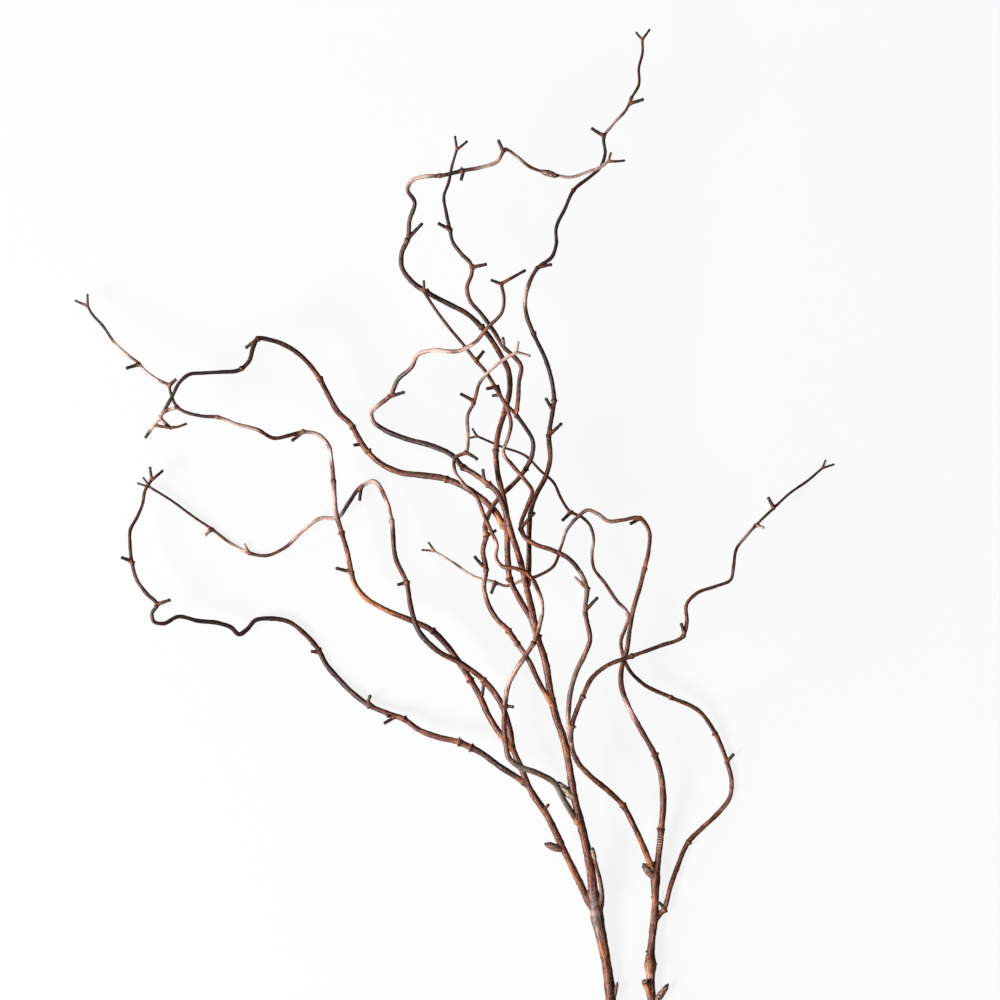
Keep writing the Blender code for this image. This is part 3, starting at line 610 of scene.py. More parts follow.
def smooth_line(points):
    """One point a millimetre along the smooth curve through the given points."""
    knots = np.array(points, float)
    steps = np.linalg.norm(np.diff(knots, axis=0), axis=1)
    slopes = np.diff(knots, axis=0) / steps[:, None]
    before, after = steps[:-1, None], steps[1:, None]
    inner = (slopes[:-1] * after + slopes[1:] * before) / (before + after)
    tangents = np.vstack([slopes[:1], inner, slopes[-1:]])
    pieces = [knots[:1]]
    for i, step in enumerate(steps):
        count = max(2, round(step))
        t = np.linspace(0.0, 1.0, count + 1)[1:, None]
        pieces.append(
            (2 * t**3 - 3 * t**2 + 1) * knots[i]
            + (t**3 - 2 * t**2 + t) * step * tangents[i]
            + (3 * t**2 - 2 * t**3) * knots[i + 1]
            + (t**3 - t**2) * step * tangents[i + 1]
        )
    return np.vstack(pieces)


def distances(line):
    """How far along the line each of its points lies."""
    return np.concatenate([[0.0], np.cumsum(np.linalg.norm(np.diff(line, axis=0), axis=1))])


def sheet_gap(points, across, down):
    """How far each point lies from a place on the sheet, seen from above."""
    return np.hypot(points[:, 0] - across, points[:, 1] - down)


def nearest(line, across, down):
    """The number of the line's point that lies closest to a place on the sheet."""
    return int(np.argmin(sheet_gap(line, across, down)))


def hump(distance, reach):
    """1 in the middle, fading smoothly to nothing beyond the reach."""
    return np.exp(-((distance / reach) ** 2))


def turn_from(side, angles):
    """The angles measured from one side of the wood, the short way round."""
    return (angles - side + math.pi) % (2 * math.pi) - math.pi


def stretch_strength(stretches, centres):
    """How strongly each ring lies in one of the stretches marked on the sheet."""
    strength = np.zeros(len(centres))
    for across, down, reach, most in stretches:
        strength = np.maximum(strength, most * hump(sheet_gap(centres, across, down), reach))
    return strength


def ring_axes(centres):
    """Two directions across the line at each of its points, turning as little as they can."""
    ahead = np.gradient(centres, axis=0)
    ahead /= np.linalg.norm(ahead, axis=1)[:, None]
    side = np.cross(ahead[0], (0.0, 0.0, 1.0))
    if np.linalg.norm(side) < 0.1:
        side = np.cross(ahead[0], (1.0, 0.0, 0.0))
    sides = []
    for direction in ahead:
        side = side - direction * (side @ direction)
        side /= np.linalg.norm(side)
        sides.append(side)
    sides = np.array(sides)
    return sides, np.cross(ahead, sides)


def above_table(points):
    """Lifts every point that would lie under the table's surface onto it."""
    points[..., 2] = np.maximum(points[..., 2], 0.0)
    return points


class Growth:
    """The solids of one piece, and what the bark shader has to know at each of their points."""

    def __init__(self, name):
        self.name = name
        self.home = bpy.data.collections.new(name + "_growth")
        bpy.context.scene.collection.children.link(self.home)
        self.places, self.grain, self.marks = [], [], []

    def add_rings(self, name, centres, radii, marks, start=0.0):
        """One closed solid through rings of points. The radii are rings by sides, in millimetres."""
        rings, sides = radii.shape
        across, up = ring_axes(centres)
        angles = np.linspace(0.0, 2 * math.pi, sides, endpoint=False)
        spokes = across[:, None] * np.cos(angles)[:, None] + up[:, None] * np.sin(angles)[:, None]
        shell = centres[:, None] + spokes * radii[:, :, None]
        points = above_table(np.vstack([shell.reshape(-1, 3), centres[[0, -1]]]))
        along = start + distances(centres)
        around = (radii * np.cos(angles), radii * np.sin(angles), np.repeat(along[:, None], sides, axis=1))
        tails = [(0.0, 0.0, along[0]), (0.0, 0.0, along[-1])]
        grain = np.vstack([np.stack(around, axis=2).reshape(-1, 3), tails])
        spread = np.broadcast_to(marks if marks.ndim == 3 else marks[:, None], (rings, sides, 5))
        marks = np.vstack([spread.reshape(-1, 5), spread[[0, -1], 0]])
        self.add_solid(name, points, grain, marks, ring_faces(rings, sides))

    def add_solid(self, name, points, grain, marks, faces):
        """Keeps a solid, with the grain and the marks (dark, ochre, bloom, scar, pale) of its points. The
        scar mark also holds painted shade in the troughs of the fine ridges, and the pale mark is partly
        painted highlight.
        """
        self.grain.append(grain)
        self.marks.append(marks)
        self.places.append(points * MM)
        self.link(name, points * MM, faces)

    def link(self, name, points, faces):
        mesh = bpy.data.meshes.new(name)
        mesh.from_pydata(points.tolist(), [], faces)
        self.home.objects.link(bpy.data.objects.new(name, mesh))

    def finish(self, fillets):
        """Joins the solids into one closed mesh that keeps the grain and the marks."""
        parts = list(self.home.objects)
        piece = parts[0]
        self.home.objects.unlink(piece)
        bpy.context.scene.collection.objects.link(piece)
        union = piece.modifiers.new("join", "BOOLEAN")
        union.operation = "UNION"
        union.solver = "MANIFOLD"
        union.operand_type = "COLLECTION"
        union.collection = self.home
        bpy.context.view_layer.update()
        graph = bpy.context.evaluated_depsgraph_get()
        joined = bpy.data.meshes.new_from_object(piece.evaluated_get(graph))
        piece.modifiers.clear()
        piece.data = joined
        piece.name = joined.name = self.name
        for helper in list(self.home.objects):
            bpy.data.objects.remove(helper)
        bpy.data.collections.remove(self.home)
        self.carry_marks(joined, fillets)
        return piece

    def carry_marks(self, mesh, fillets):
        """Gives each face corner the grain and marks of the grown point that it was."""
        places = np.vstack(self.places)
        owners = np.repeat(np.arange(len(self.places)), [len(part) for part in self.places])
        tree = point_tree(places, range(len(places)))
        found = [tree.find(vertex.co) for vertex in mesh.vertices]
        order = np.array([number for _, number, _ in found])
        fresh = np.array([gap > NEW_POINT for _, _, gap in found])
        known = np.hstack([np.vstack(self.grain), np.vstack(self.marks)])
        shown = own_corners(mesh, places, owners, order, fresh, known).astype(np.float32)
        for name, kind, key, values in (
            ("grain", "FLOAT_VECTOR", "vector", shown[:, :3]),
            ("marks", "FLOAT_COLOR", "color", shown[:, 3:7]),
            ("pale", "FLOAT", "value", shown[:, 7]),
        ):
            layer = mesh.attributes.new(name, kind, "CORNER")
            layer.data.foreach_set(key, values.ravel())
        if fillets and fresh.any():
            thickness = np.linalg.norm(known[order, :2], axis=1)
            soften_creases(mesh, fresh, thickness)
        mesh.shade_smooth()
        mesh.set_sharp_from_angle(angle=SHARP_EDGE)


def point_tree(places, numbers):
    """A search tree of the places with the given numbers."""
    tree = KDTree(len(numbers))
    for number in numbers:
        tree.insert(places[number], number)
    tree.balance()
    return tree


def blended(tree, known, place):
    """What is known at a place, from the tree's points nearest to it."""
    near = tree.find_n(place, NEAR_POINTS)
    shares = np.array([1.0 / (gap + NEAREST_GAP) ** 2 for _, _, gap in near])
    return shares @ known[[number for _, number, _ in near]] / shares.sum()


def own_corners(mesh, places, owners, order, fresh, known):
    """What is known at each face corner. No face mixes the patterns of two woods."""
    corners = np.empty(len(mesh.loops), np.int64)
    mesh.loops.foreach_get("vertex_index", corners)
    starts = np.empty(len(mesh.polygons), np.int64)
    mesh.polygons.foreach_get("loop_start", starts)
    values = known[order[corners]]
    owner = owners[order[corners]]
    mixed = np.minimum.reduceat(owner, starts) != np.maximum.reduceat(owner, starts)
    mixed |= np.logical_or.reduceat(fresh[corners], starts)
    trees = {}
    for number in np.flatnonzero(mixed):
        around = list(mesh.polygons[int(number)].loop_indices)
        seen = [owner[i] for i in around if not fresh[corners[i]]] or [owner[i] for i in around]
        chosen = max(sorted(set(seen)), key=seen.count)
        if chosen not in trees:
            trees[chosen] = point_tree(places, np.flatnonzero(owners == chosen))
        for i in around:
            corner = int(corners[i])
            if owner[i] != chosen or fresh[corner]:
                values[i] = blended(trees[chosen], known, mesh.vertices[corner].co)
    return values


def ring_faces(rings, sides):
    """Quads between the rings, and a fan at either end around the last two points."""
    faces = []
    for ring in range(rings - 1):
        for side in range(sides):
            after = (side + 1) % sides
            low, high = ring * sides, (ring + 1) * sides
            faces.append((low + side, low + after, high + after, high + side))
    first, last, top = rings * sides, rings * sides + 1, (rings - 1) * sides
    for side in range(sides):
        after = (side + 1) % sides
        faces.append((first, after, side))
        faces.append((last, top + side, top + after))
    return faces


def soften_creases(mesh, fresh, thickness):
    """Rounds the crease where one wood leaves another, as grown wood does."""
    points = np.empty(len(mesh.vertices) * 3)
    mesh.vertices.foreach_get("co", points)
    points = points.reshape(-1, 3)
    creases = point_tree(points, np.flatnonzero(fresh))
    found = [creases.find(place) for place in points]
    reach = FILLET_SHARE * MM * thickness[[number for _, number, _ in found]]
    gaps = np.array([gap for _, _, gap in found]) / np.maximum(reach, MM)
    pull = np.clip(1.0 - gaps, 0.0, 1.0)[:, None] * FILLET_PULL
    edges = np.empty(len(mesh.edges) * 2, np.int64)
    mesh.edges.foreach_get("vertices", edges)
    edges = edges.reshape(-1, 2)
    count = np.bincount(edges.ravel(), minlength=len(points))[:, None]
    for _ in range(FILLET_ROUNDS):
        total = np.zeros_like(points)
        for here, there in ((0, 1), (1, 0)):
            np.add.at(total, edges[:, here], points[edges[:, there]])
        points += (total / count - points) * pull
    mesh.vertices.foreach_set("co", above_table(points).ravel())
    mesh.update()


def ring_places(length, spacing, nodes):
    """Distances along a branch at which it has a ring: closer together round its nodes."""
    count = max(2, math.ceil(length / spacing))
    kept = [
        s
        for s in np.linspace(0.0, length, count + 1)
        if all(not NODE_RINGS[0] - 0.5 < s - node < NODE_RINGS[-1] + 0.5 for node in nodes)
    ]
    kept += [node + step for node in nodes for step in NODE_RINGS if 0.3 < node + step < length - 0.3]
    return np.array(sorted({0.0, length, *kept}))


def branch_sides(radius, settings):
    if radius >= TRUNK_RADIUS:
        return settings.trunk_sides
    return settings.branch_sides if radius >= BRANCH_RADIUS else settings.twig_sides


class Wood:
    """One branch's own wood: a radius for each side of each ring, and where its bark differs."""

    def __init__(self, branch, settings, draw):
        self.branch = branch
        self.line = smooth_line([point[:3] for point in branch.route])
        self.reach = distances(self.line)
        self.length = float(self.reach[-1])
        self.nodes = [self.find(*point[:2]) for point in branch.route if len(point) > 3]
        self.ridges = [(self.find(x, y), spread, depth) for x, y, spread, depth in branch.ridges]
        self.places = self.place_rings(settings.ring_spacing / MM)
        self.centres = np.stack(
            [np.interp(self.places, self.reach, self.line[:, axis]) for axis in range(3)], axis=1
        )
        sides = branch_sides(branch.radii[0], settings)
        self.angles = np.linspace(0.0, 2 * math.pi, sides, endpoint=False)[None]
        self.base = self.thickness(draw)
        self.radii = np.repeat(self.base[:, None], sides, axis=1)
        for waves, depth in FLUTES:
            drift = draw.uniform(*ANY_PHASE) + self.places / draw.uniform(30, 60) * draw.choice((-1, 1))
            self.radii *= 1.0 + depth * np.cos(waves * (self.angles + drift[:, None]))
        self.scar = np.zeros(self.radii.shape)
        self.young = np.zeros(len(self.places))
        self.pale_crests_and_highlight = np.zeros(len(self.places))

    def find(self, across, down):
        """How far along the wood a place on the sheet lies."""
        return float(self.reach[nearest(self.line, across, down)])

    def place_rings(self, spacing):
        """Distances along the wood at which it has a ring."""
        seams = [*self.nodes, self.branch.collar + COLLAR_REACH] if self.branch.collar else self.nodes
        places = ring_places(self.length, spacing, seams)
        for middle, spread, _ in self.ridges:
            close = np.arange(middle - spread, middle + spread, RIDGE_STEP)
            apart = places[np.abs(places - middle) > spread + RIDGE_STEP]
            places = np.sort(np.concatenate([apart, close]))
        if self.branch.dome:
            closing = self.length - self.branch.dome * np.array(DOME_RINGS)
            places = np.sort(np.concatenate([places[places < closing[0]], closing, [self.length]]))
        return places

    def thickness(self, draw):
        """The plain radius at each ring, with its bulges and its rounded tip."""
        base = np.interp(self.places, (0.0, self.length / 2, self.length), self.branch.radii)
        for wave, depth in THICKER_THINNER:
            phase = draw.uniform(*ANY_PHASE)
            base = base * (1.0 + depth * np.sin(2 * math.pi * self.places / wave + phase))
        for across, down, spread, rise in self.branch.bulges:
            base = base + rise * hump(sheet_gap(self.centres, across, down), spread)
        if self.branch.dome:
            inside = np.clip(1.0 - (self.length - self.places) / self.branch.dome, 0.0, 0.995)
            base = base * np.sqrt(1.0 - inside**2)
        return base

    def add_node(self, node, draw):
        """Swells the wood where a leaf sat, with its ring scar and its leaf scar."""
        away = self.places - node
        swell = np.where(away < 0.0, hump(away, NODE_REACH), hump(away, NODE_FALL))
        lean = 1.0 + NODE_LEAN * np.cos(self.angles - draw.uniform(*ANY_SIDE))
        self.radii *= 1.0 + NODE_SWELL * draw.uniform(*NODE_VARIES) * swell[:, None] * lean
        self.radii -= SCAR_DEPTH * hump(away - SCAR_AHEAD, SCAR_WIDTH)[:, None]
        turn = turn_from(draw.uniform(*ANY_SIDE), self.angles)
        shelf = hump(away + LEAF_SCAR_BELOW, LEAF_SCAR_LENGTH)[:, None] * hump(turn, LEAF_SCAR_SPREAD)
        self.radii += LEAF_SCAR_RISE * np.clip(self.base / LEAF_SCAR_WOOD, 0.5, 1.3)[:, None] * shelf
        around = CORK_ROUND + CORK_AT_LEAF * hump(turn, CORK_SPREAD)
        cork = hump(away - SCAR_AHEAD, CORK_WIDTH)[:, None] * around
        old = OLD_BARK * hump(np.minimum(away + 1.0, 0.0), OLD_REACH) * (away < 1.0)
        self.scar = np.maximum(self.scar, np.maximum(cork, old[:, None]))
        fresh = draw.uniform(*YOUNG_BARK) * hump(away, YOUNG_REACH) * (away > YOUNG_START)
        self.young = np.maximum(self.young, fresh)

    def add_collar(self):
        """Swells the wood where it leaves its parent, with a scar past the swelling."""
        away = self.places - self.branch.collar - COLLAR_REACH
        past = away - COLLAR_SCAR_AHEAD
        self.radii *= 1.0 + COLLAR_SWELL * hump(away, COLLAR_FADE)[:, None]
        self.radii -= SCAR_DEPTH * hump(past, SCAR_WIDTH)[:, None]
        self.scar = np.maximum(self.scar, COLLAR_CORK * hump(past, CORK_WIDTH)[:, None])
        self.young = np.maximum(self.young, COLLAR_YOUNG * hump(away - 1.0, YOUNG_REACH))

    def add_ridges(self, middle, spread, depth):
        """Lays fine ridges round the wood, paler on the top of each ridge and corky in the troughs between:
        partly the rings' own colour, partly painted highlight and painted shade that follow the relief.
        """
        wave = np.cos(2 * math.pi * (self.places - middle) / RIDGE_SPACING)
        strength = hump(self.places - middle, spread * RIDGE_FADE)
        self.radii += (depth * strength * wave)[:, None]
        # painted shade in the troughs, carried in the scar mark with the cork
        self.scar = np.maximum(self.scar, (strength * np.clip(-wave, 0.0, 1.0))[:, None])
        # painted highlight on the ridge tops, carried in the pale mark
        self.pale_crests_and_highlight = np.maximum(self.pale_crests_and_highlight, strength * np.clip(wave, 0.0, 1.0))

    def add_warts(self, draw):
        """Scatters small warts over the wood."""
        for _ in range(int(self.length / WART_SPACING)):
            away = self.places - draw.uniform(0, self.length)
            turn = turn_from(draw.uniform(*ANY_SIDE), self.angles)
            lift = hump(away, WART_LENGTH)[:, None] * hump(turn * self.base[:, None], WART_SPREAD)
            self.radii += WART_RISE * draw.uniform(*WART_VARIES) * self.base[:, None] * lift

    def marks(self, name):
        """The marks at each side of each ring, with the stretches drawn for the named branch."""
        # The pale mark is partly dry pale bark and partly painted highlight.
        dark, ochre, bloom, pale = (
            stretch_strength(table.get(name, ()), self.centres) for table in (DARK, OCHRE, BLOOM, PALE_AND_HIGHLIGHT)
        )
        thin = np.clip((THIN_RADIUS - self.base) / THIN_RANGE, 0.0, 1.0)
        dark = np.maximum(dark, THIN_DARK * thin)
        if self.branch.ends:
            dark = np.maximum(dark, TIP_DARK * hump(self.length - self.places, TIP_LENGTH))
        ochre = np.maximum(ochre, self.young)
        # the ridge tops join the pale mark as painted highlight
        pale = np.maximum(pale, self.pale_crests_and_highlight)
        dark, ochre, bloom, pale = (
            np.repeat(mark[:, None], self.angles.size, axis=1) for mark in (dark, ochre, bloom, pale)
        )
        return np.stack([dark, ochre, bloom, self.scar, pale], axis=2)


def grow_branch(growth, stem, name, branch, number, settings):
    """The branch's own wood, with flutes, nodes, leaf scars and warts. Returns its line."""
    draw = np.random.default_rng(settings.seed + number)
    wood = Wood(branch, settings, draw)
    for node in wood.nodes:
        wood.add_node(node, draw)
    if branch.collar:
        wood.add_collar()
    for middle, spread, depth in wood.ridges:
        wood.add_ridges(middle, spread, depth)
    wood.add_warts(draw)
    centres = sheet_to_frame(wood.centres)
    growth.add_rings(f"{stem}_{name}", centres, wood.radii, wood.marks(name), number * PATTERN_GAP)
    return wood.line


def grow_stub(growth, name, start, tip, radius, bare, stretches, pattern, draw):
    """A short side shoot: flared where it leaves the wood, dark and blunt at its tip."""
    root, point = sheet_to_frame([start, tip])
    length = float(np.linalg.norm(point - root))
    blunt, narrow = zip(*STUB_TIP)
    share = np.concatenate([np.linspace(0.0, 0.93, STUB_RINGS - len(blunt)), blunt])
    centres = root + (point - root) * share[:, None]
    centres += draw.normal(0.0, 1.0, 3) * STUB_BEND * np.sin(math.pi * share)[:, None]
    widths = 1.0 - STUB_TAPER * share + STUB_FLARE * hump(share * length - bare, STUB_FLARE_LENGTH)
    lip, neck = (rise * hump(share - place, reach) for place, reach, rise in (STUB_LIP, STUB_NECK))
    widths += lip - neck
    widths[-len(narrow):] *= narrow
    angles = np.linspace(0.0, 2 * math.pi, STUB_SIDES, endpoint=False)
    lumps = 1.0 + STUB_LUMPS * np.cos(3 * angles + draw.uniform(*ANY_PHASE))
    radii = radius * widths[:, None] * lumps[None]
    dark = np.clip((share - 0.15) / 0.45, 0.0, 1.0)
    scar = 0.6 * hump(share * length - bare, 0.7)
    on_sheet = np.array(start) + (np.array(tip) - np.array(start)) * share[:, None]
    pale = stretch_strength(stretches, on_sheet)
    marks = np.stack([dark, 0.25 * (1.0 - dark), 0.0 * share, scar, pale], axis=1)
    growth.add_rings(name, centres, radii, marks, pattern * PATTERN_GAP)


def grow_details(growth, stem, name, branch, line, number, draw):
    """The stubs and the forked end of one branch."""
    # The pale stretches, partly painted highlight, run onto the stubs and prongs too.
    stretches = PALE_AND_HIGHLIGHT.get(name, ())
    bare = branch.radii[0] * STUB_SUNK
    for count, (x, y, tip_x, tip_y, rise) in enumerate(branch.stubs, 1):
        root = line[nearest(line, x, y)]
        tip = (tip_x, tip_y, root[2] + rise)
        radius = STUB_RADIUS * min(1.0, math.hypot(tip_x - x, tip_y - y) / STUB_LENGTH)
        full = f"{stem}_{name}_stub_{count}"
        pattern = number + STUB_PATTERN * count
        grow_stub(growth, full, root, tip, radius, bare, stretches, pattern, draw)
    radius = branch.radii[-1] * END_WIDTH
    for count, (tip_x, tip_y) in enumerate(branch.ends, 1):
        root = line[-1]
        rise = END_SPREAD if count == 1 else -END_SPREAD
        tip = (tip_x, tip_y, root[2] + rise)
        full = f"{stem}_{name}_end_{count}"
        grow_stub(growth, full, root, tip, radius, 0.5, stretches, number + END_PATTERN, draw)


def grow_bark(stem, branches, settings, first):
    """A stem's whole bark as one closed mesh: every branch, stub and forked end joined.

    Each branch starts its own draw by its number, which is the given first one and up.
    """
    growth = Growth(f"{stem}_bark")
    for number, (name, branch) in enumerate(branches.items(), first):
        line = grow_branch(growth, stem, name, branch, number, settings)
        draw = np.random.default_rng(settings.seed + STUB_DRAWS + number)
        grow_details(growth, stem, name, branch, line, number, draw)
    return growth.finish(fillets=True)


def bud_width(share):
    """The bud's width at a share of its length, as a part of its widest."""
    shares, widths = zip(*BUD_OUTLINE)
    return np.interp(share, shares, widths)


def add_scale(growth, name, root, point, half_width, first, turn, lift, pale):
    """One pointed scale wrapped on the bud, its inner side sunk into the bud's core."""
    v = np.linspace(0.0, 1.0, SCALE_GRID)[:, None]
    u = np.linspace(-1.0, 1.0, SCALE_GRID)[None]
    share = first + SCALE_LENGTH * v + 0.0 * u
    narrow = 0.06 + 0.94 * np.clip(1.0 - v**2.4, 0.0, 1.0) ** 0.6
    angle = turn + u * SCALE_WIDTH * narrow
    width = bud_width(np.clip(share, 0.0, 1.0)) * half_width
    outer = width + 0.1 + lift * v**1.6 * (1.0 - 0.35 * u**2) - 0.07 * u**4
    inner = width * SCALE_SUNK
    axis = (point - root) / np.linalg.norm(point - root)
    across = np.cross(axis, (0.0, 0.0, 1.0))
    across /= np.linalg.norm(across)
    up = np.cross(axis, across)
    spokes = across * np.cos(angle)[..., None] + up * np.sin(angle)[..., None]
    middles = root + (point - root) * share[..., None]
    points = above_table(
        np.concatenate(
            [(middles + spokes * reach[..., None]).reshape(-1, 3) for reach in (outer, inner)]
        )
    )
    edge = np.clip(np.maximum(v**5, np.abs(u + 0.0 * v) ** 3), 0.0, 1.0).ravel()
    marks = np.zeros((len(points), 5))
    # The inner side shows only in the gaps between scales: painted shade, fully dark.
    marks[:, 0] = np.concatenate([edge, np.ones_like(edge)])
    # Each scale's foot, tucked under the scale before it, is darkened as painted shade.
    marks[:, 1] = np.tile(np.clip(1.0 - v * 1.6 + 0.0 * u, 0.0, 1.0).ravel(), 2)
    marks[:, 4] = pale
    grain = points + (0.0, 0.0, first * SCALE_PATTERN_GAP)
    growth.add_solid(name, points, grain, marks, scale_faces(SCALE_GRID, SCALE_GRID))


def scale_faces(rows, columns):
    """The faces of a closed blade: its outer side, its inner side and the rim between."""
    inside = rows * columns
    faces = []
    for row in range(rows - 1):
        for column in range(columns - 1):
            a = row * columns + column
            quad = (a, a + 1, a + columns + 1, a + columns)
            faces.append(quad)
            faces.append(tuple(inside + corner for corner in reversed(quad)))
    rim = list(range(columns))
    rim += [row * columns + columns - 1 for row in range(1, rows)]
    rim += [(rows - 1) * columns + column for column in range(columns - 2, -1, -1)]
    rim += [row * columns for row in range(rows - 2, 0, -1)]
    for here, there in zip(rim, rim[1:] + rim[:1]):
        faces.append((there, here, inside + here, inside + there))
    return faces


def grow_bud(growth, name, start, tip, half_width, pale, draw):
    """A bud: a spindle core under rows of overlapping scales that open a little."""
    root, point = sheet_to_frame([start, tip])
    length = float(np.linalg.norm(point - root))
    share = np.linspace(0.0, 1.0, BUD_RINGS)
    centres = root + (point - root) * share[:, None]
    radii = np.repeat((bud_width(share) * half_width)[:, None], BUD_SIDES, axis=1)
    # The core shows only in the gaps between the scales, and is painted near black there as their shade.
    marks = np.stack([1.0 + 0.0 * share, *[0.0 * share] * 4], axis=1)
    growth.add_rings(name, centres, radii, marks)
    scales = max(FEWEST_SCALES, round(length * SCALES_PER_MM))
    for count in range(scales):
        first = SCALES_FROM + SCALES_OVER * count / scales
        turn = count * GOLDEN_TURN + draw.uniform(-0.2, 0.2)
        lift = draw.uniform(0.5, 1.1) * half_width / 2.8
        add_scale(growth, f"{name}_scale_{count}", root, point, half_width, first, turn, lift, pale)


def grow_buds(stem, branches, settings):
    """All of a stem's scaly buds, each seated in the wood that it grows from."""
    draw = np.random.default_rng(settings.seed + BUD_DRAWS)
    growth = Growth(f"{stem}_buds")
    for name, branch in branches.items():
        line = smooth_line([point[:3] for point in branch.route])
        for count, (x, y, tip_x, tip_y, rise, half_width, pale) in enumerate(branch.buds, 1):
            root = line[nearest(line, x, y)]
            tip = (tip_x, tip_y, root[2] + rise)
            grow_bud(growth, f"{name}_bud_{count}", root, tip, half_width, pale, draw)
    return growth.finish(fillets=False)


def cut_face(name, branch, at_tip):
    """The pale wood that a straight cut leaves: year rings, a soft pith and a saw's ripple."""
    line = sheet_to_frame(smooth_line([point[:3] for point in branch.route]))
    end, inner = (line[-1], line[-3]) if at_tip else (line[0], line[2])
    outwards = (end - inner) / np.linalg.norm(end - inner)
    radius = branch.radii[-1 if at_tip else 0] * CUT_FACE_SHARE
    profile = [(1.0, -CUT_FACE_DEPTH), (1.0, 0.05)]  # (share of the radius, height)
    profile += [(share, 0.12 + 0.035 * math.cos(share * 40.0)) for share in np.linspace(0.94, 0.14, 15)]
    profile += [(0.09, 0.04), (0.05, -0.05)]
    shares, heights = np.array(profile).T
    across = np.cross(outwards, (0.0, 0.0, 1.0))
    across /= np.linalg.norm(across)
    angles = np.linspace(0.0, 2 * math.pi, CUT_FACE_SIDES, endpoint=False)[:, None]
    spokes = across * np.cos(angles) + np.cross(outwards, across) * np.sin(angles)
    rings = outwards * heights[:, None, None] + spokes * (shares * radius)[:, None, None]
    middles = outwards * np.array([[-CUT_FACE_DEPTH], [-0.08]])
    points = above_table(end + np.vstack([rings.reshape(-1, 3), middles]))
    mesh = bpy.data.meshes.new(name)
    mesh.from_pydata((points * MM).tolist(), [], ring_faces(len(profile), CUT_FACE_SIDES))
    flat = (points - end) - np.outer((points - end) @ outwards, outwards)
    values = np.column_stack([flat[:, :2], np.linalg.norm(flat, axis=1)])
    grain = mesh.attributes.new("grain", "FLOAT_VECTOR", "POINT")
    grain.data.foreach_set("vector", values.astype(np.float32).ravel())
    mesh.shade_smooth()
    mesh.set_sharp_from_angle(angle=SHARP_EDGE)
    piece = bpy.data.objects.new(name, mesh)
    bpy.context.scene.collection.objects.link(piece)
    return piece


class Wiring:
    """Adds nodes to one node tree and joins their sockets."""

    def __init__(self, tree):
        self.tree = tree

    def node(self, kind, inputs=None, **settings):
        made = self.tree.nodes.new(kind)
        for name, value in settings.items():
            setattr(made, name, value)
        for key, value in (inputs or {}).items():
            self.feed(made.inputs[key], value)
        return made

    def feed(self, socket, value):
        if isinstance(value, bpy.types.NodeSocket):
            self.tree.links.new(value, socket)
        else:
            socket.default_value = value

    def attribute(self, name):
        return self.node("ShaderNodeAttribute", attribute_name=name).outputs

    def math(self, operation, first, second=0.0):
        return self.node("ShaderNodeMath", {0: first, 1: second}, operation=operation).outputs[0]

    def total(self, first, *weighted):
        """The first value with each of the others, which come as (value, weight), added to it."""
        for value, weight in weighted:
            first = self.math("ADD", first, self.math("MULTIPLY", value, weight))
        return first

    def times(self, first, second):
        """The vector with each of its parts multiplied by the other vector's."""
        inputs = {0: first, 1: second}
        return self.node("ShaderNodeVectorMath", inputs, operation="MULTIPLY").outputs[0]

    def blend(self, share, first, second):
        """Mixes two colours. A mix node has its colour sockets at 6 and 7, and its result at 2."""
        made = self.node("ShaderNodeMix", {0: share, 6: first, 7: second}, data_type="RGBA")
        return made.outputs[2]

    def spread(self, value, low, high, to_low=0.0, to_high=1.0):
        inputs = {"Value": value, "From Min": low, "From Max": high, "To Min": to_low, "To Max": to_high}
        return self.node("ShaderNodeMapRange", inputs, clamp=True).outputs["Result"]

    def group(self, name, **inputs):
        """A node of the shared group of that name."""
        return self.node("ShaderNodeGroup", inputs, node_tree=bpy.data.node_groups[name])

    def streaks(self, grain, across, along, detail):
        """A mask of noise with so many waves a millimetre across the grain and along it."""
        inputs = {"Grain": grain, "Across": across, "Along": along, "Detail": detail}
        return self.group("Stretched Noise", **inputs).outputs["Mask"]

    def bump(self, height, strength, distance, shader):
        """Raises the finish by the height, to so many metres at most."""
        inputs = {"Height": height, "Strength": strength, "Distance": distance}
        self.feed(shader.inputs["Normal"], self.node("ShaderNodeBump", inputs).outputs["Normal"])


def new_group(name, inputs, outputs):
    """The wiring for a new shader node group, what it is given and its last node."""
    tree = bpy.data.node_groups.new(name, "ShaderNodeTree")
    for label, kind, default in inputs:
        socket = tree.interface.new_socket(label, in_out="INPUT", socket_type=kind)
        if default is not None:
            socket.default_value = default
    for label, kind in outputs:
        tree.interface.new_socket(label, in_out="OUTPUT", socket_type=kind)
    wiring = Wiring(tree)
    start = wiring.node("NodeGroupInput")
    finish = wiring.node("NodeGroupOutput")
    return wiring, start.outputs, finish


def stretched_noise_group():
    """Noise drawn out along the grain or round it: streaks, rings or broad patches."""
    wiring, given, finish = new_group(
        "Stretched Noise",
        (
            ("Grain", "NodeSocketVector", None),
            ("Across", "NodeSocketFloat", 1.0),
            ("Along", "NodeSocketFloat", 1.0),
            ("Detail", "NodeSocketFloat", 3.0),
        ),
        (("Mask", "NodeSocketFloat"),),
    )
    scale = wiring.node(
        "ShaderNodeCombineXYZ", {0: given["Across"], 1: given["Across"], 2: given["Along"]}
    )
    place = wiring.times(given["Grain"], scale.outputs[0])
    noise = wiring.node(
        "ShaderNodeTexNoise",
        {"Vector": place, "Scale": 1.0, "Detail": given["Detail"], "Roughness": 0.62},
    )
    wiring.feed(finish.inputs["Mask"], wiring.spread(noise.outputs["Fac"], 0.3, 0.7))


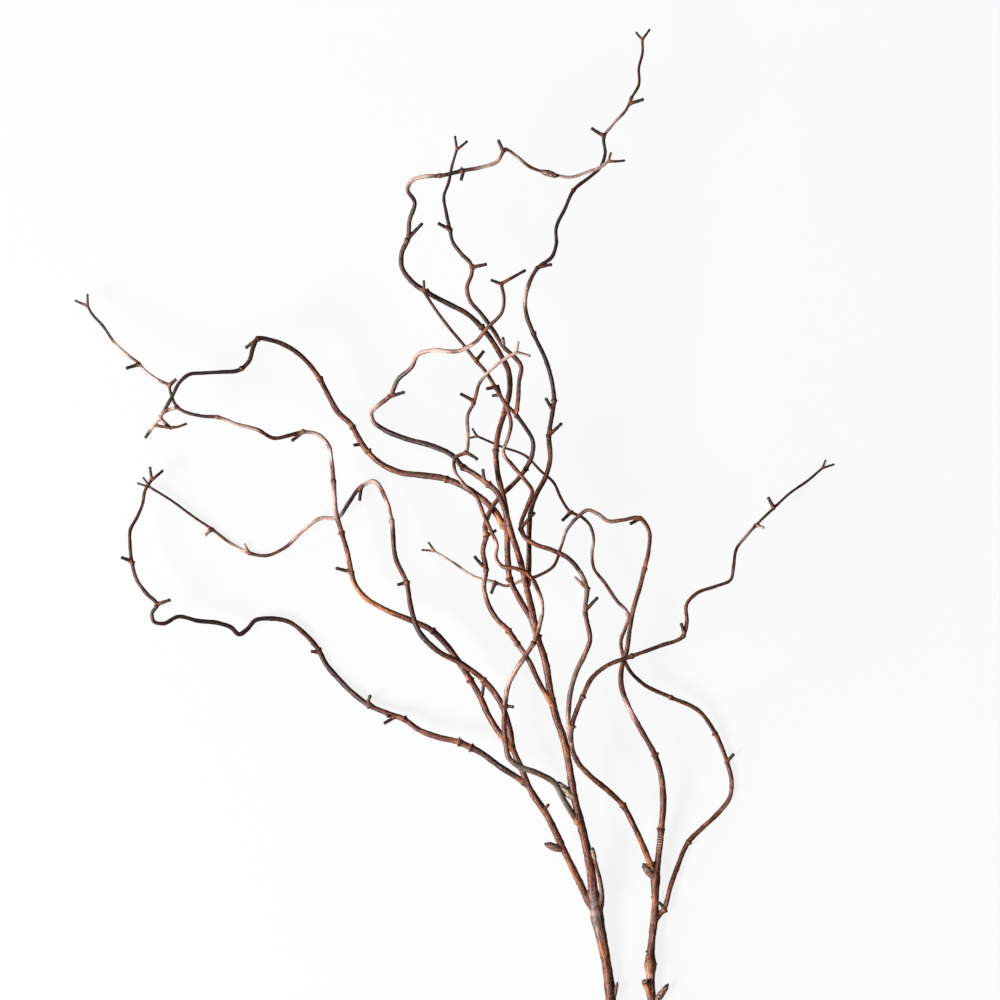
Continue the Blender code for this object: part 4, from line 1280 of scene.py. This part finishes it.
def lenticels_group():
    """Small breathing pores, longer along the twig than across it."""
    wiring, given, finish = new_group(
        "Lenticels",
        (
            ("Grain", "NodeSocketVector", None),
            ("Density", "NodeSocketFloat", 0.4),
            ("Size", "NodeSocketFloat", 0.2),
        ),
        (("Mask", "NodeSocketFloat"),),
    )
    density = given["Density"]
    scale = wiring.node(
        "ShaderNodeCombineXYZ", {0: density, 1: density, 2: wiring.math("MULTIPLY", density, 0.6)}
    )
    place = wiring.times(given["Grain"], scale.outputs[0])
    cells = wiring.node("ShaderNodeTexVoronoi", {"Vector": place, "Scale": 1.0})
    near = wiring.spread(cells.outputs["Distance"], given["Size"], 0.02)
    wiring.feed(finish.inputs["Mask"], near)


def ragged_cover_group():
    """Colour laid over a finish where a mark is strong, with a ragged edge."""
    wiring, given, finish = new_group(
        "Ragged Cover",
        (
            ("Color", "NodeSocketColor", None),
            ("Cover", "NodeSocketColor", None),
            ("Mark", "NodeSocketFloat", 0.0),
            ("Rag", "NodeSocketFloat", 0.5),
        ),
        (("Color", "NodeSocketColor"),),
    )
    ragged = wiring.spread(given["Rag"], 0.0, 1.0, 0.35, 1.5)
    mask = wiring.spread(wiring.math("MULTIPLY", given["Mark"], ragged), 0.15, 0.85)
    wiring.feed(finish.inputs["Color"], wiring.blend(mask, given["Color"], given["Cover"]))


def opaque(colour):
    return (*colour, 1.0)


def new_material(name, roughness):
    material = bpy.data.materials.new(name)
    material.use_nodes = True
    shader = material.node_tree.nodes["Principled BSDF"]
    shader.inputs["Roughness"].default_value = roughness
    return material, Wiring(material.node_tree), shader


def bark_material(name, deep, middle, light, looks):
    """Willow bark: lengthwise streaks, fine cross rings, pores, ochre, bloom, dark tips, and pale stretches
    that are partly painted highlight.
    """
    material, wiring, shader = new_material(name, 0.5)
    grain = wiring.attribute("grain")["Vector"]
    marks = wiring.attribute("marks")
    pale = wiring.attribute("pale")["Fac"]
    dark, ochre, bloom = wiring.node("ShaderNodeSeparateColor", {"Color": marks["Color"]}).outputs
    streaks, rings, patches, lumps, bands = (
        wiring.streaks(grain, across, along, detail)
        for across, along, detail in (
            (0.7, 0.1, 4.0), (0.2, 0.5, 3.0), (0.3, 0.07, 3.0), (0.9, 0.35, 2.0), (0.2, 0.8, 2.0),
        )
    )
    pores = wiring.group("Lenticels", Grain=grain, Density=0.42, Size=0.24).outputs["Mask"]
    tone = wiring.total(wiring.math("MULTIPLY", patches, 0.4), (streaks, 0.4), (lumps, 0.2))
    ramp = wiring.node("ShaderNodeValToRGB", {"Fac": wiring.spread(tone, 0.22, 0.8)})
    for stop, position, colour in zip(ramp.color_ramp.elements, (0.2, 0.86), (deep, light)):
        stop.position = position
        stop.color = opaque(colour)
    ramp.color_ramp.elements.new(0.5).color = opaque(middle)
    colour = wiring.blend(wiring.math("MULTIPLY", rings, 0.35), ramp.outputs["Color"], opaque(deep))
    fine = wiring.spread(bands, 0.6, 0.9, 0.0, 0.3)
    colour = wiring.blend(fine, colour, opaque(looks.pore_colour))
    colour = wiring.blend(wiring.math("MULTIPLY", pores, 0.6), colour, opaque(looks.pore_colour))
    for mark, low, high, rag in (
        (ochre, looks.ochre_dark, looks.ochre_light, patches),
        (bloom, looks.bloom_dark, looks.bloom_light, lumps),
        (dark, looks.dark_low, looks.dark_high, patches),
        # pale bark, partly painted highlight
        (pale, looks.pale_and_highlight_dark, looks.pale_and_highlight_light, patches),
        # cork of the scars, and painted shade in the troughs of the fine ridges
        (marks["Alpha"], looks.cork_and_shade_colour, looks.ochre_dark, rings),
    ):
        cover = wiring.blend(streaks, opaque(low), opaque(high))
        laid = wiring.group("Ragged Cover", Color=colour, Cover=cover, Mark=mark, Rag=rag)
        colour = laid.outputs["Color"]
    wiring.feed(shader.inputs["Base Color"], colour)
    wiring.feed(shader.inputs["Roughness"], wiring.spread(streaks, 0.0, 1.0, 0.4, 0.62))
    height = wiring.math("ADD", lumps, fine)
    height = wiring.total(height, (streaks, 0.6), (rings, 0.35), (pores, 0.5))
    wiring.bump(height, 0.85, 0.00035, shader)
    shader.inputs["Coat Weight"].default_value = 0.12
    shader.inputs["Coat Roughness"].default_value = 0.2
    shader.inputs["Specular IOR Level"].default_value = 0.28
    return material


def bud_material(looks):
    """Bud scales: a dry paler face with fibres and dark rims, with painted shade near black in the gaps
    between the scales and darker at each scale's foot.
    """
    material, wiring, shader = new_material("bud_scale", 0.5)
    grain = wiring.attribute("grain")["Vector"]
    pale = wiring.attribute("pale")["Fac"]
    # edge: the dark rims, and painted shade on the inner sides and core seen in the gaps; foot: painted
    # shade under the scale before
    edge, foot, _ = wiring.node(
        "ShaderNodeSeparateColor", {"Color": wiring.attribute("marks")["Color"]}
    ).outputs
    fibres = wiring.streaks(grain, 1.3, 1.3, 4.0)
    # near black for the rims, and painted shade for the gaps and feet
    rim = opaque(looks.scale_rim_and_gap_shade)
    body = wiring.blend(fibres, opaque(looks.scale_colour), opaque(looks.scale_light))
    body = wiring.blend(wiring.math("MULTIPLY", pale, 0.85), body, opaque(looks.scale_pale))
    # painted shade at each scale's foot
    body = wiring.blend(wiring.math("MULTIPLY", foot, 0.7), body, rim)
    laid = wiring.group("Ragged Cover", Color=body, Cover=rim, Mark=edge, Rag=fibres)
    wiring.feed(shader.inputs["Base Color"], laid.outputs["Color"])
    wiring.feed(shader.inputs["Roughness"], wiring.spread(fibres, 0.0, 1.0, 0.4, 0.7))
    wiring.bump(fibres, 0.5, 0.0002, shader)
    return material


def cut_wood_material(name, wood, year, core, core_radius):
    """Cut willow: the wood with darker year rings round the pith."""
    material, wiring, shader = new_material(name, 0.75)
    grain = wiring.attribute("grain")["Vector"]
    radius = wiring.node("ShaderNodeSeparateXYZ", {0: grain}).outputs["Z"]
    fibres = wiring.streaks(grain, 2.2, 0.6, 5.0)
    wave = wiring.math("SINE", wiring.total(fibres, (radius, 7.4)))
    years = wiring.spread(wave, -0.2, 1.0)
    colour = wiring.blend(wiring.math("MULTIPLY", years, 0.55), opaque(wood), opaque(year))
    colour = wiring.blend(wiring.math("MULTIPLY", fibres, 0.3), colour, opaque(year))
    # The core colour fills the pith; in the old spur it is near black, painted shade of a hollow.
    pith = wiring.spread(radius, core_radius, core_radius * 0.6)
    colour = wiring.blend(pith, colour, opaque(core))
    wiring.feed(shader.inputs["Base Color"], colour)
    wiring.feed(shader.inputs["Roughness"], wiring.spread(fibres, 0.0, 1.0, 0.65, 0.85))
    wiring.bump(years, 0.4, 0.0002, shader)
    return material


def floor_material(colour, glow):
    """A matt pale floor with the faintest unevenness, which the camera sees brighter than it is."""
    material, wiring, shader = new_material("pale_floor", 0.9)
    place = wiring.node("ShaderNodeTexCoord").outputs["Object"]
    noise = wiring.node("ShaderNodeTexNoise", {"Vector": place, "Scale": 3.0, "Detail": 2.0})
    shade = wiring.spread(noise.outputs["Fac"], 0.3, 0.7)
    darker = opaque(value * 0.985 for value in colour)
    wiring.feed(shader.inputs["Base Color"], wiring.blend(shade, darker, opaque(colour)))
    shader.inputs["Specular IOR Level"].default_value = 0.0
    shader.inputs["Emission Color"].default_value = (1.0, 1.0, 1.0, 1.0)
    seen = wiring.node("ShaderNodeLightPath").outputs["Is Camera Ray"]
    wiring.feed(shader.inputs["Emission Strength"], wiring.math("MULTIPLY", seen, glow))
    return material


def shared_groups():
    """Builds the node groups that several materials share, once."""
    for name, build in (
        ("Stretched Noise", stretched_noise_group),
        ("Lenticels", lenticels_group),
        ("Ragged Cover", ragged_cover_group),
    ):
        if name not in bpy.data.node_groups:
            build()


def dress(piece, material, slot, *nodes):
    """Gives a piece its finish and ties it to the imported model."""
    piece.data.materials.clear()
    piece.data.materials.append(material)
    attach(piece, BODY)
    if nodes:
        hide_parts(*nodes)


def colour_property(name, description, default):
    return bpy.props.FloatVectorProperty(
        name=name, description=description, subtype="COLOR", size=3, min=0.0, max=1.0, default=default
    )


class WillowGrowth(bpy.types.PropertyGroup):
    """How finely the stems are grown."""

    ring_spacing: bpy.props.FloatProperty(
        name="Ring spacing",
        description="Distance from one ring of points to the next along the wood",
        default=0.002, min=0.0005, max=0.02, subtype="DISTANCE", unit="LENGTH",
    )
    trunk_sides: bpy.props.IntProperty(
        name="Trunk sides", description="Points round the thickest wood", default=24, min=8, max=48
    )
    branch_sides: bpy.props.IntProperty(
        name="Branch sides", description="Points round the middling wood", default=18, min=8, max=48
    )
    twig_sides: bpy.props.IntProperty(
        name="Twig sides", description="Points round the thinnest wood", default=14, min=8, max=48
    )
    seed: bpy.props.IntProperty(
        name="Seed", description="Starts the draw of scars, warts and flutes", default=41, min=0
    )


class WillowLooks(bpy.types.PropertyGroup):
    """The colours of the bark, the buds and the cut wood."""

    left_deep: colour_property("Left deep", "Shaded bark of the left stem", (0.043, 0.0105, 0.0055))
    left_middle: colour_property("Left middle", "Common bark of the left stem", (0.080, 0.0185, 0.0095))
    left_light: colour_property("Left light", "Pale bark of the left stem", (0.34, 0.100, 0.050))
    right_deep: colour_property("Right deep", "Shaded bark of the right stem", (0.043, 0.0115, 0.0070))
    right_middle: colour_property("Right middle", "Common bark of the right stem", (0.080, 0.0205, 0.0120))
    right_light: colour_property("Right light", "Pale bark of the right stem", (0.37, 0.12, 0.066))
    ochre_dark: colour_property("Ochre, dark", "Young bark in the streaks", (0.17, 0.048, 0.015))
    ochre_light: colour_property("Ochre", "Young bark near the collars", (0.58, 0.23, 0.095))
    bloom_dark: colour_property("Bloom, dark", "Grey bark under the bloom", (0.050, 0.034, 0.034))
    bloom_light: colour_property("Bloom", "Grey bloom on shaded bark", (0.21, 0.175, 0.135))
    # The pale stretches: dry pale bark, partly painted highlight.
    pale_and_highlight_dark: colour_property("Pale, dark", "Streaks of dry pale bark", (0.27, 0.14, 0.11))
    pale_and_highlight_light: colour_property("Pale", "Dry pale bark", (0.68, 0.49, 0.43))
    dark_low: colour_property("Dark, low", "Nearly black bark and tips", (0.010, 0.005, 0.005))
    dark_high: colour_property("Dark", "Streaks of the nearly black bark", (0.038, 0.0155, 0.0145))
    # Cork of the scars, and painted shade in the troughs of the fine ridges.
    cork_and_shade_colour: colour_property("Scar", "Cork of the ring scars", (0.030, 0.013, 0.009))
    pore_colour: colour_property("Pore", "Cork of the breathing pores", (0.33, 0.17, 0.11))
    # Dark rims of the bud scales, and painted shade in their gaps and at their feet.
    scale_rim_and_gap_shade: colour_property("Scale foot", "Rims and gaps of the bud scales", (0.016, 0.009, 0.008))
    scale_colour: colour_property("Scale", "Face of a bud scale", (0.10, 0.032, 0.022))
    scale_light: colour_property("Scale, light", "Fibres of a bud scale", (0.36, 0.18, 0.135))
    scale_pale: colour_property("Scale, pale", "Face of a downy pale bud scale", (0.56, 0.48, 0.35))
    wood_colour: colour_property("Wood", "Fresh-cut wood", (0.56, 0.42, 0.25))
    year_colour: colour_property("Year ring", "Late wood of a year", (0.36, 0.235, 0.12))
    pith_colour: colour_property("Pith", "The middle of the stem", (0.16, 0.085, 0.045))
    old_wood: colour_property("Old wood", "Weathered wood of the cut spur", (0.40, 0.24, 0.17))
    old_year: colour_property("Old year ring", "Dark rings of the cut spur", (0.10, 0.045, 0.03))
    # Painted shade of a hollow in the spur's middle, where the face barely dips.
    old_pith_shade: colour_property("Old pith", "The hollow middle of the cut spur", (0.018, 0.009, 0.007))


class WillowStage(bpy.types.PropertyGroup):
    """The floor, the lights and the camera."""

    floor_side: bpy.props.FloatProperty(
        name="Floor side", description="Length of the square floor's side",
        default=12.0, min=2.0, subtype="DISTANCE", unit="LENGTH",
    )
    floor_colour: colour_property("Floor", "Colour of the pale floor", (0.075, 0.075, 0.075))
    floor_glow: bpy.props.FloatProperty(
        name="Floor glow", description="Light added to the pale floor for the camera", default=0.86, min=0.0
    )
    camera_height: bpy.props.FloatProperty(
        name="Camera height", description="Height of the camera over the middle of the stems",
        default=12.0, min=2.0, subtype="DISTANCE", unit="LENGTH",
    )
    view_width: bpy.props.FloatProperty(
        name="View width", description="What the camera sees from side to side",
        default=1.0, min=0.1, subtype="DISTANCE", unit="LENGTH",
    )
    key_power: bpy.props.FloatProperty(
        name="Key light", description="Power of the large light on the left",
        default=1550.0, min=0.0, unit="POWER",
    )
    sky_strength: bpy.props.FloatProperty(
        name="Sky", description="Strength of the even light all round", default=0.12, min=0.0
    )


def add_bark(scene, stem, branches, first, slot, colours):
    """Grows one stem's bark and dresses it in the stem's own colours."""
    shared_groups()
    piece = grow_bark(stem, branches, scene.willow_growth, first)
    dress(piece, bark_material(slot, *colours, scene.willow_looks), slot, stem)


class WILLOW_OT_left_bark(bpy.types.Operator):
    """Grow the left stem's bark, from its cut foot to the forked tips"""

    bl_idname = "willow.left_bark"
    bl_label = "Left Stem Bark"

    def execute(self, context):
        looks = context.scene.willow_looks
        colours = (looks.left_deep, looks.left_middle, looks.left_light)
        add_bark(context.scene, "left_stem", LEFT_STEM, 1, "red_brown_bark", colours)
        return {"FINISHED"}


class WILLOW_OT_right_bark(bpy.types.Operator):
    """Grow the right stem's bark, with its cut spur"""

    bl_idname = "willow.right_bark"
    bl_label = "Right Stem Bark"

    def execute(self, context):
        looks = context.scene.willow_looks
        colours = (looks.right_deep, looks.right_middle, looks.right_light)
        add_bark(context.scene, "right_stem", RIGHT_STEM, 30, "dark_brown_bark", colours)
        return {"FINISHED"}


class WILLOW_OT_buds(bpy.types.Operator):
    """Grow the scaly buds of both stems"""

    bl_idname = "willow.buds"
    bl_label = "Buds"

    def execute(self, context):
        scene = context.scene
        shared_groups()
        material = bud_material(scene.willow_looks)
        for stem, branches, slot in (
            ("left_stem", LEFT_STEM, "red_brown_bark"),
            ("right_stem", RIGHT_STEM, "dark_brown_bark"),
        ):
            dress(grow_buds(stem, branches, scene.willow_growth), material, slot)
        return {"FINISHED"}


class WILLOW_OT_cut_faces(bpy.types.Operator):
    """Lay the wood in the cut ends of both stems and of the weathered spur"""

    bl_idname = "willow.cut_faces"
    bl_label = "Cut Faces"

    def execute(self, context):
        shared_groups()
        looks = context.scene.willow_looks
        fresh = cut_wood_material(
            "cut_wood", looks.wood_colour, looks.year_colour, looks.pith_colour, FRESH_PITH
        )
        # the old spur's middle is near black: painted shade of a hollow
        old = cut_wood_material(
            "old_cut_wood", looks.old_wood, looks.old_year, looks.old_pith_shade, OLD_PITH_SHADE
        )
        for name, branch, at_tip, material, slot in (
            ("left_stem_cut_face", LEFT_STEM["trunk"], False, fresh, "red_brown_bark"),
            ("right_stem_cut_face", RIGHT_STEM["trunk"], False, fresh, "dark_brown_bark"),
            ("right_stem_spur_face", RIGHT_STEM["cut_spur"], True, old, "dark_brown_bark"),
        ):
            dress(cut_face(name, branch, at_tip), material, slot)
        return {"FINISHED"}


class WILLOW_OT_stage(bpy.types.Operator):
    """Set up the floor, the soft lights and the camera that looks straight down"""

    bl_idname = "willow.stage"
    bl_label = "Stage"

    def execute(self, context):
        stage = context.scene.willow_stage
        add_floor(stage)
        add_lights(context.scene, stage)
        add_camera(context.scene, stage)
        context.scene.view_settings.view_transform = "Standard"
        return {"FINISHED"}


def add_floor(stage):
    bpy.ops.mesh.primitive_plane_add(size=stage.floor_side)
    floor = bpy.context.object
    floor.name = "floor"
    floor.location.z = cad_low.z - 0.0002
    floor.data.materials.append(floor_material(stage.floor_colour, stage.floor_glow))


def add_lights(scene, stage):
    """A large soft light at the lower left, weaker ones low on the left and at the back, and a sky."""
    world = bpy.data.worlds.new("soft_sky")
    world.use_nodes = True
    background = world.node_tree.nodes["Background"]
    background.inputs["Color"].default_value = (1.0, 0.97, 0.95, 1.0)
    background.inputs["Strength"].default_value = stage.sky_strength
    scene.world = world
    target = Vector((0.0, 0.1, 0.0))
    for name, place, size, power in (
        ("key_light", Vector((-6.0, -3.2, 4.9)), 3.4, stage.key_power),
        ("low_light", Vector((-7.2, 0.7, 1.4)), 2.4, stage.key_power * 0.42),
        ("fill_light", Vector((1.0, 5.0, 7.0)), 5.0, stage.key_power * 0.04),
    ):
        light = bpy.data.lights.new(name, "AREA")
        light.shape = "SQUARE"
        light.size = size
        light.energy = power
        lamp = bpy.data.objects.new(name, light)
        lamp.location = place
        lamp.rotation_euler = (target - place).to_track_quat("-Z", "Y").to_euler()
        scene.collection.objects.link(lamp)


def add_camera(scene, stage):
    """Looks straight down on the middle of the drawing sheet, through a long lens."""
    lens = bpy.data.cameras.new("view")
    lens.sensor_width = 36.0
    lens.lens = lens.sensor_width * stage.camera_height / stage.view_width
    lens.clip_start = 0.1
    lens.clip_end = stage.camera_height * 4
    camera = bpy.data.objects.new("view", lens)
    middle = sheet_to_frame([(*SHEET_MIDDLE, 0.0)])[0] * MM
    camera.location = (middle[0], middle[1], (cad_low.z + cad_high.z) / 2 + stage.camera_height)
    scene.collection.objects.link(camera)
    scene.camera = camera


class WILLOW_PT_panel(bpy.types.Panel):
    """Lists the pieces of the willow stems"""

    bl_idname = "WILLOW_PT_panel"
    bl_label = "Willow Stems"
    bl_space_type = "VIEW_3D"
    bl_region_type = "UI"
    bl_category = "Willow"

    def draw(self, context):
        layout = self.layout
        scene = context.scene
        for settings in (scene.willow_growth, scene.willow_looks, scene.willow_stage):
            box = layout.box()
            for name in settings.__annotations__:
                box.prop(settings, name)
        for operator in OPERATORS:
            layout.operator(operator.bl_idname)


SETTINGS = (WillowGrowth, WillowLooks, WillowStage)
OPERATORS = (
    WILLOW_OT_left_bark,
    WILLOW_OT_right_bark,
    WILLOW_OT_buds,
    WILLOW_OT_cut_faces,
    WILLOW_OT_stage,
)


def register():
    for item in (*SETTINGS, *OPERATORS, WILLOW_PT_panel):
        bpy.utils.register_class(item)
    bpy.types.Scene.willow_growth = bpy.props.PointerProperty(type=WillowGrowth)
    bpy.types.Scene.willow_looks = bpy.props.PointerProperty(type=WillowLooks)
    bpy.types.Scene.willow_stage = bpy.props.PointerProperty(type=WillowStage)


def unregister():
    del bpy.types.Scene.willow_stage
    del bpy.types.Scene.willow_looks
    del bpy.types.Scene.willow_growth
    for item in reversed((*SETTINGS, *OPERATORS, WILLOW_PT_panel)):
        bpy.utils.unregister_class(item)


def main():
    register()
    bpy.ops.willow.left_bark()
    bpy.ops.willow.right_bark()
    bpy.ops.willow.buds()
    bpy.ops.willow.cut_faces()
    bpy.ops.willow.stage()


if __name__ == "__main__":
    main()
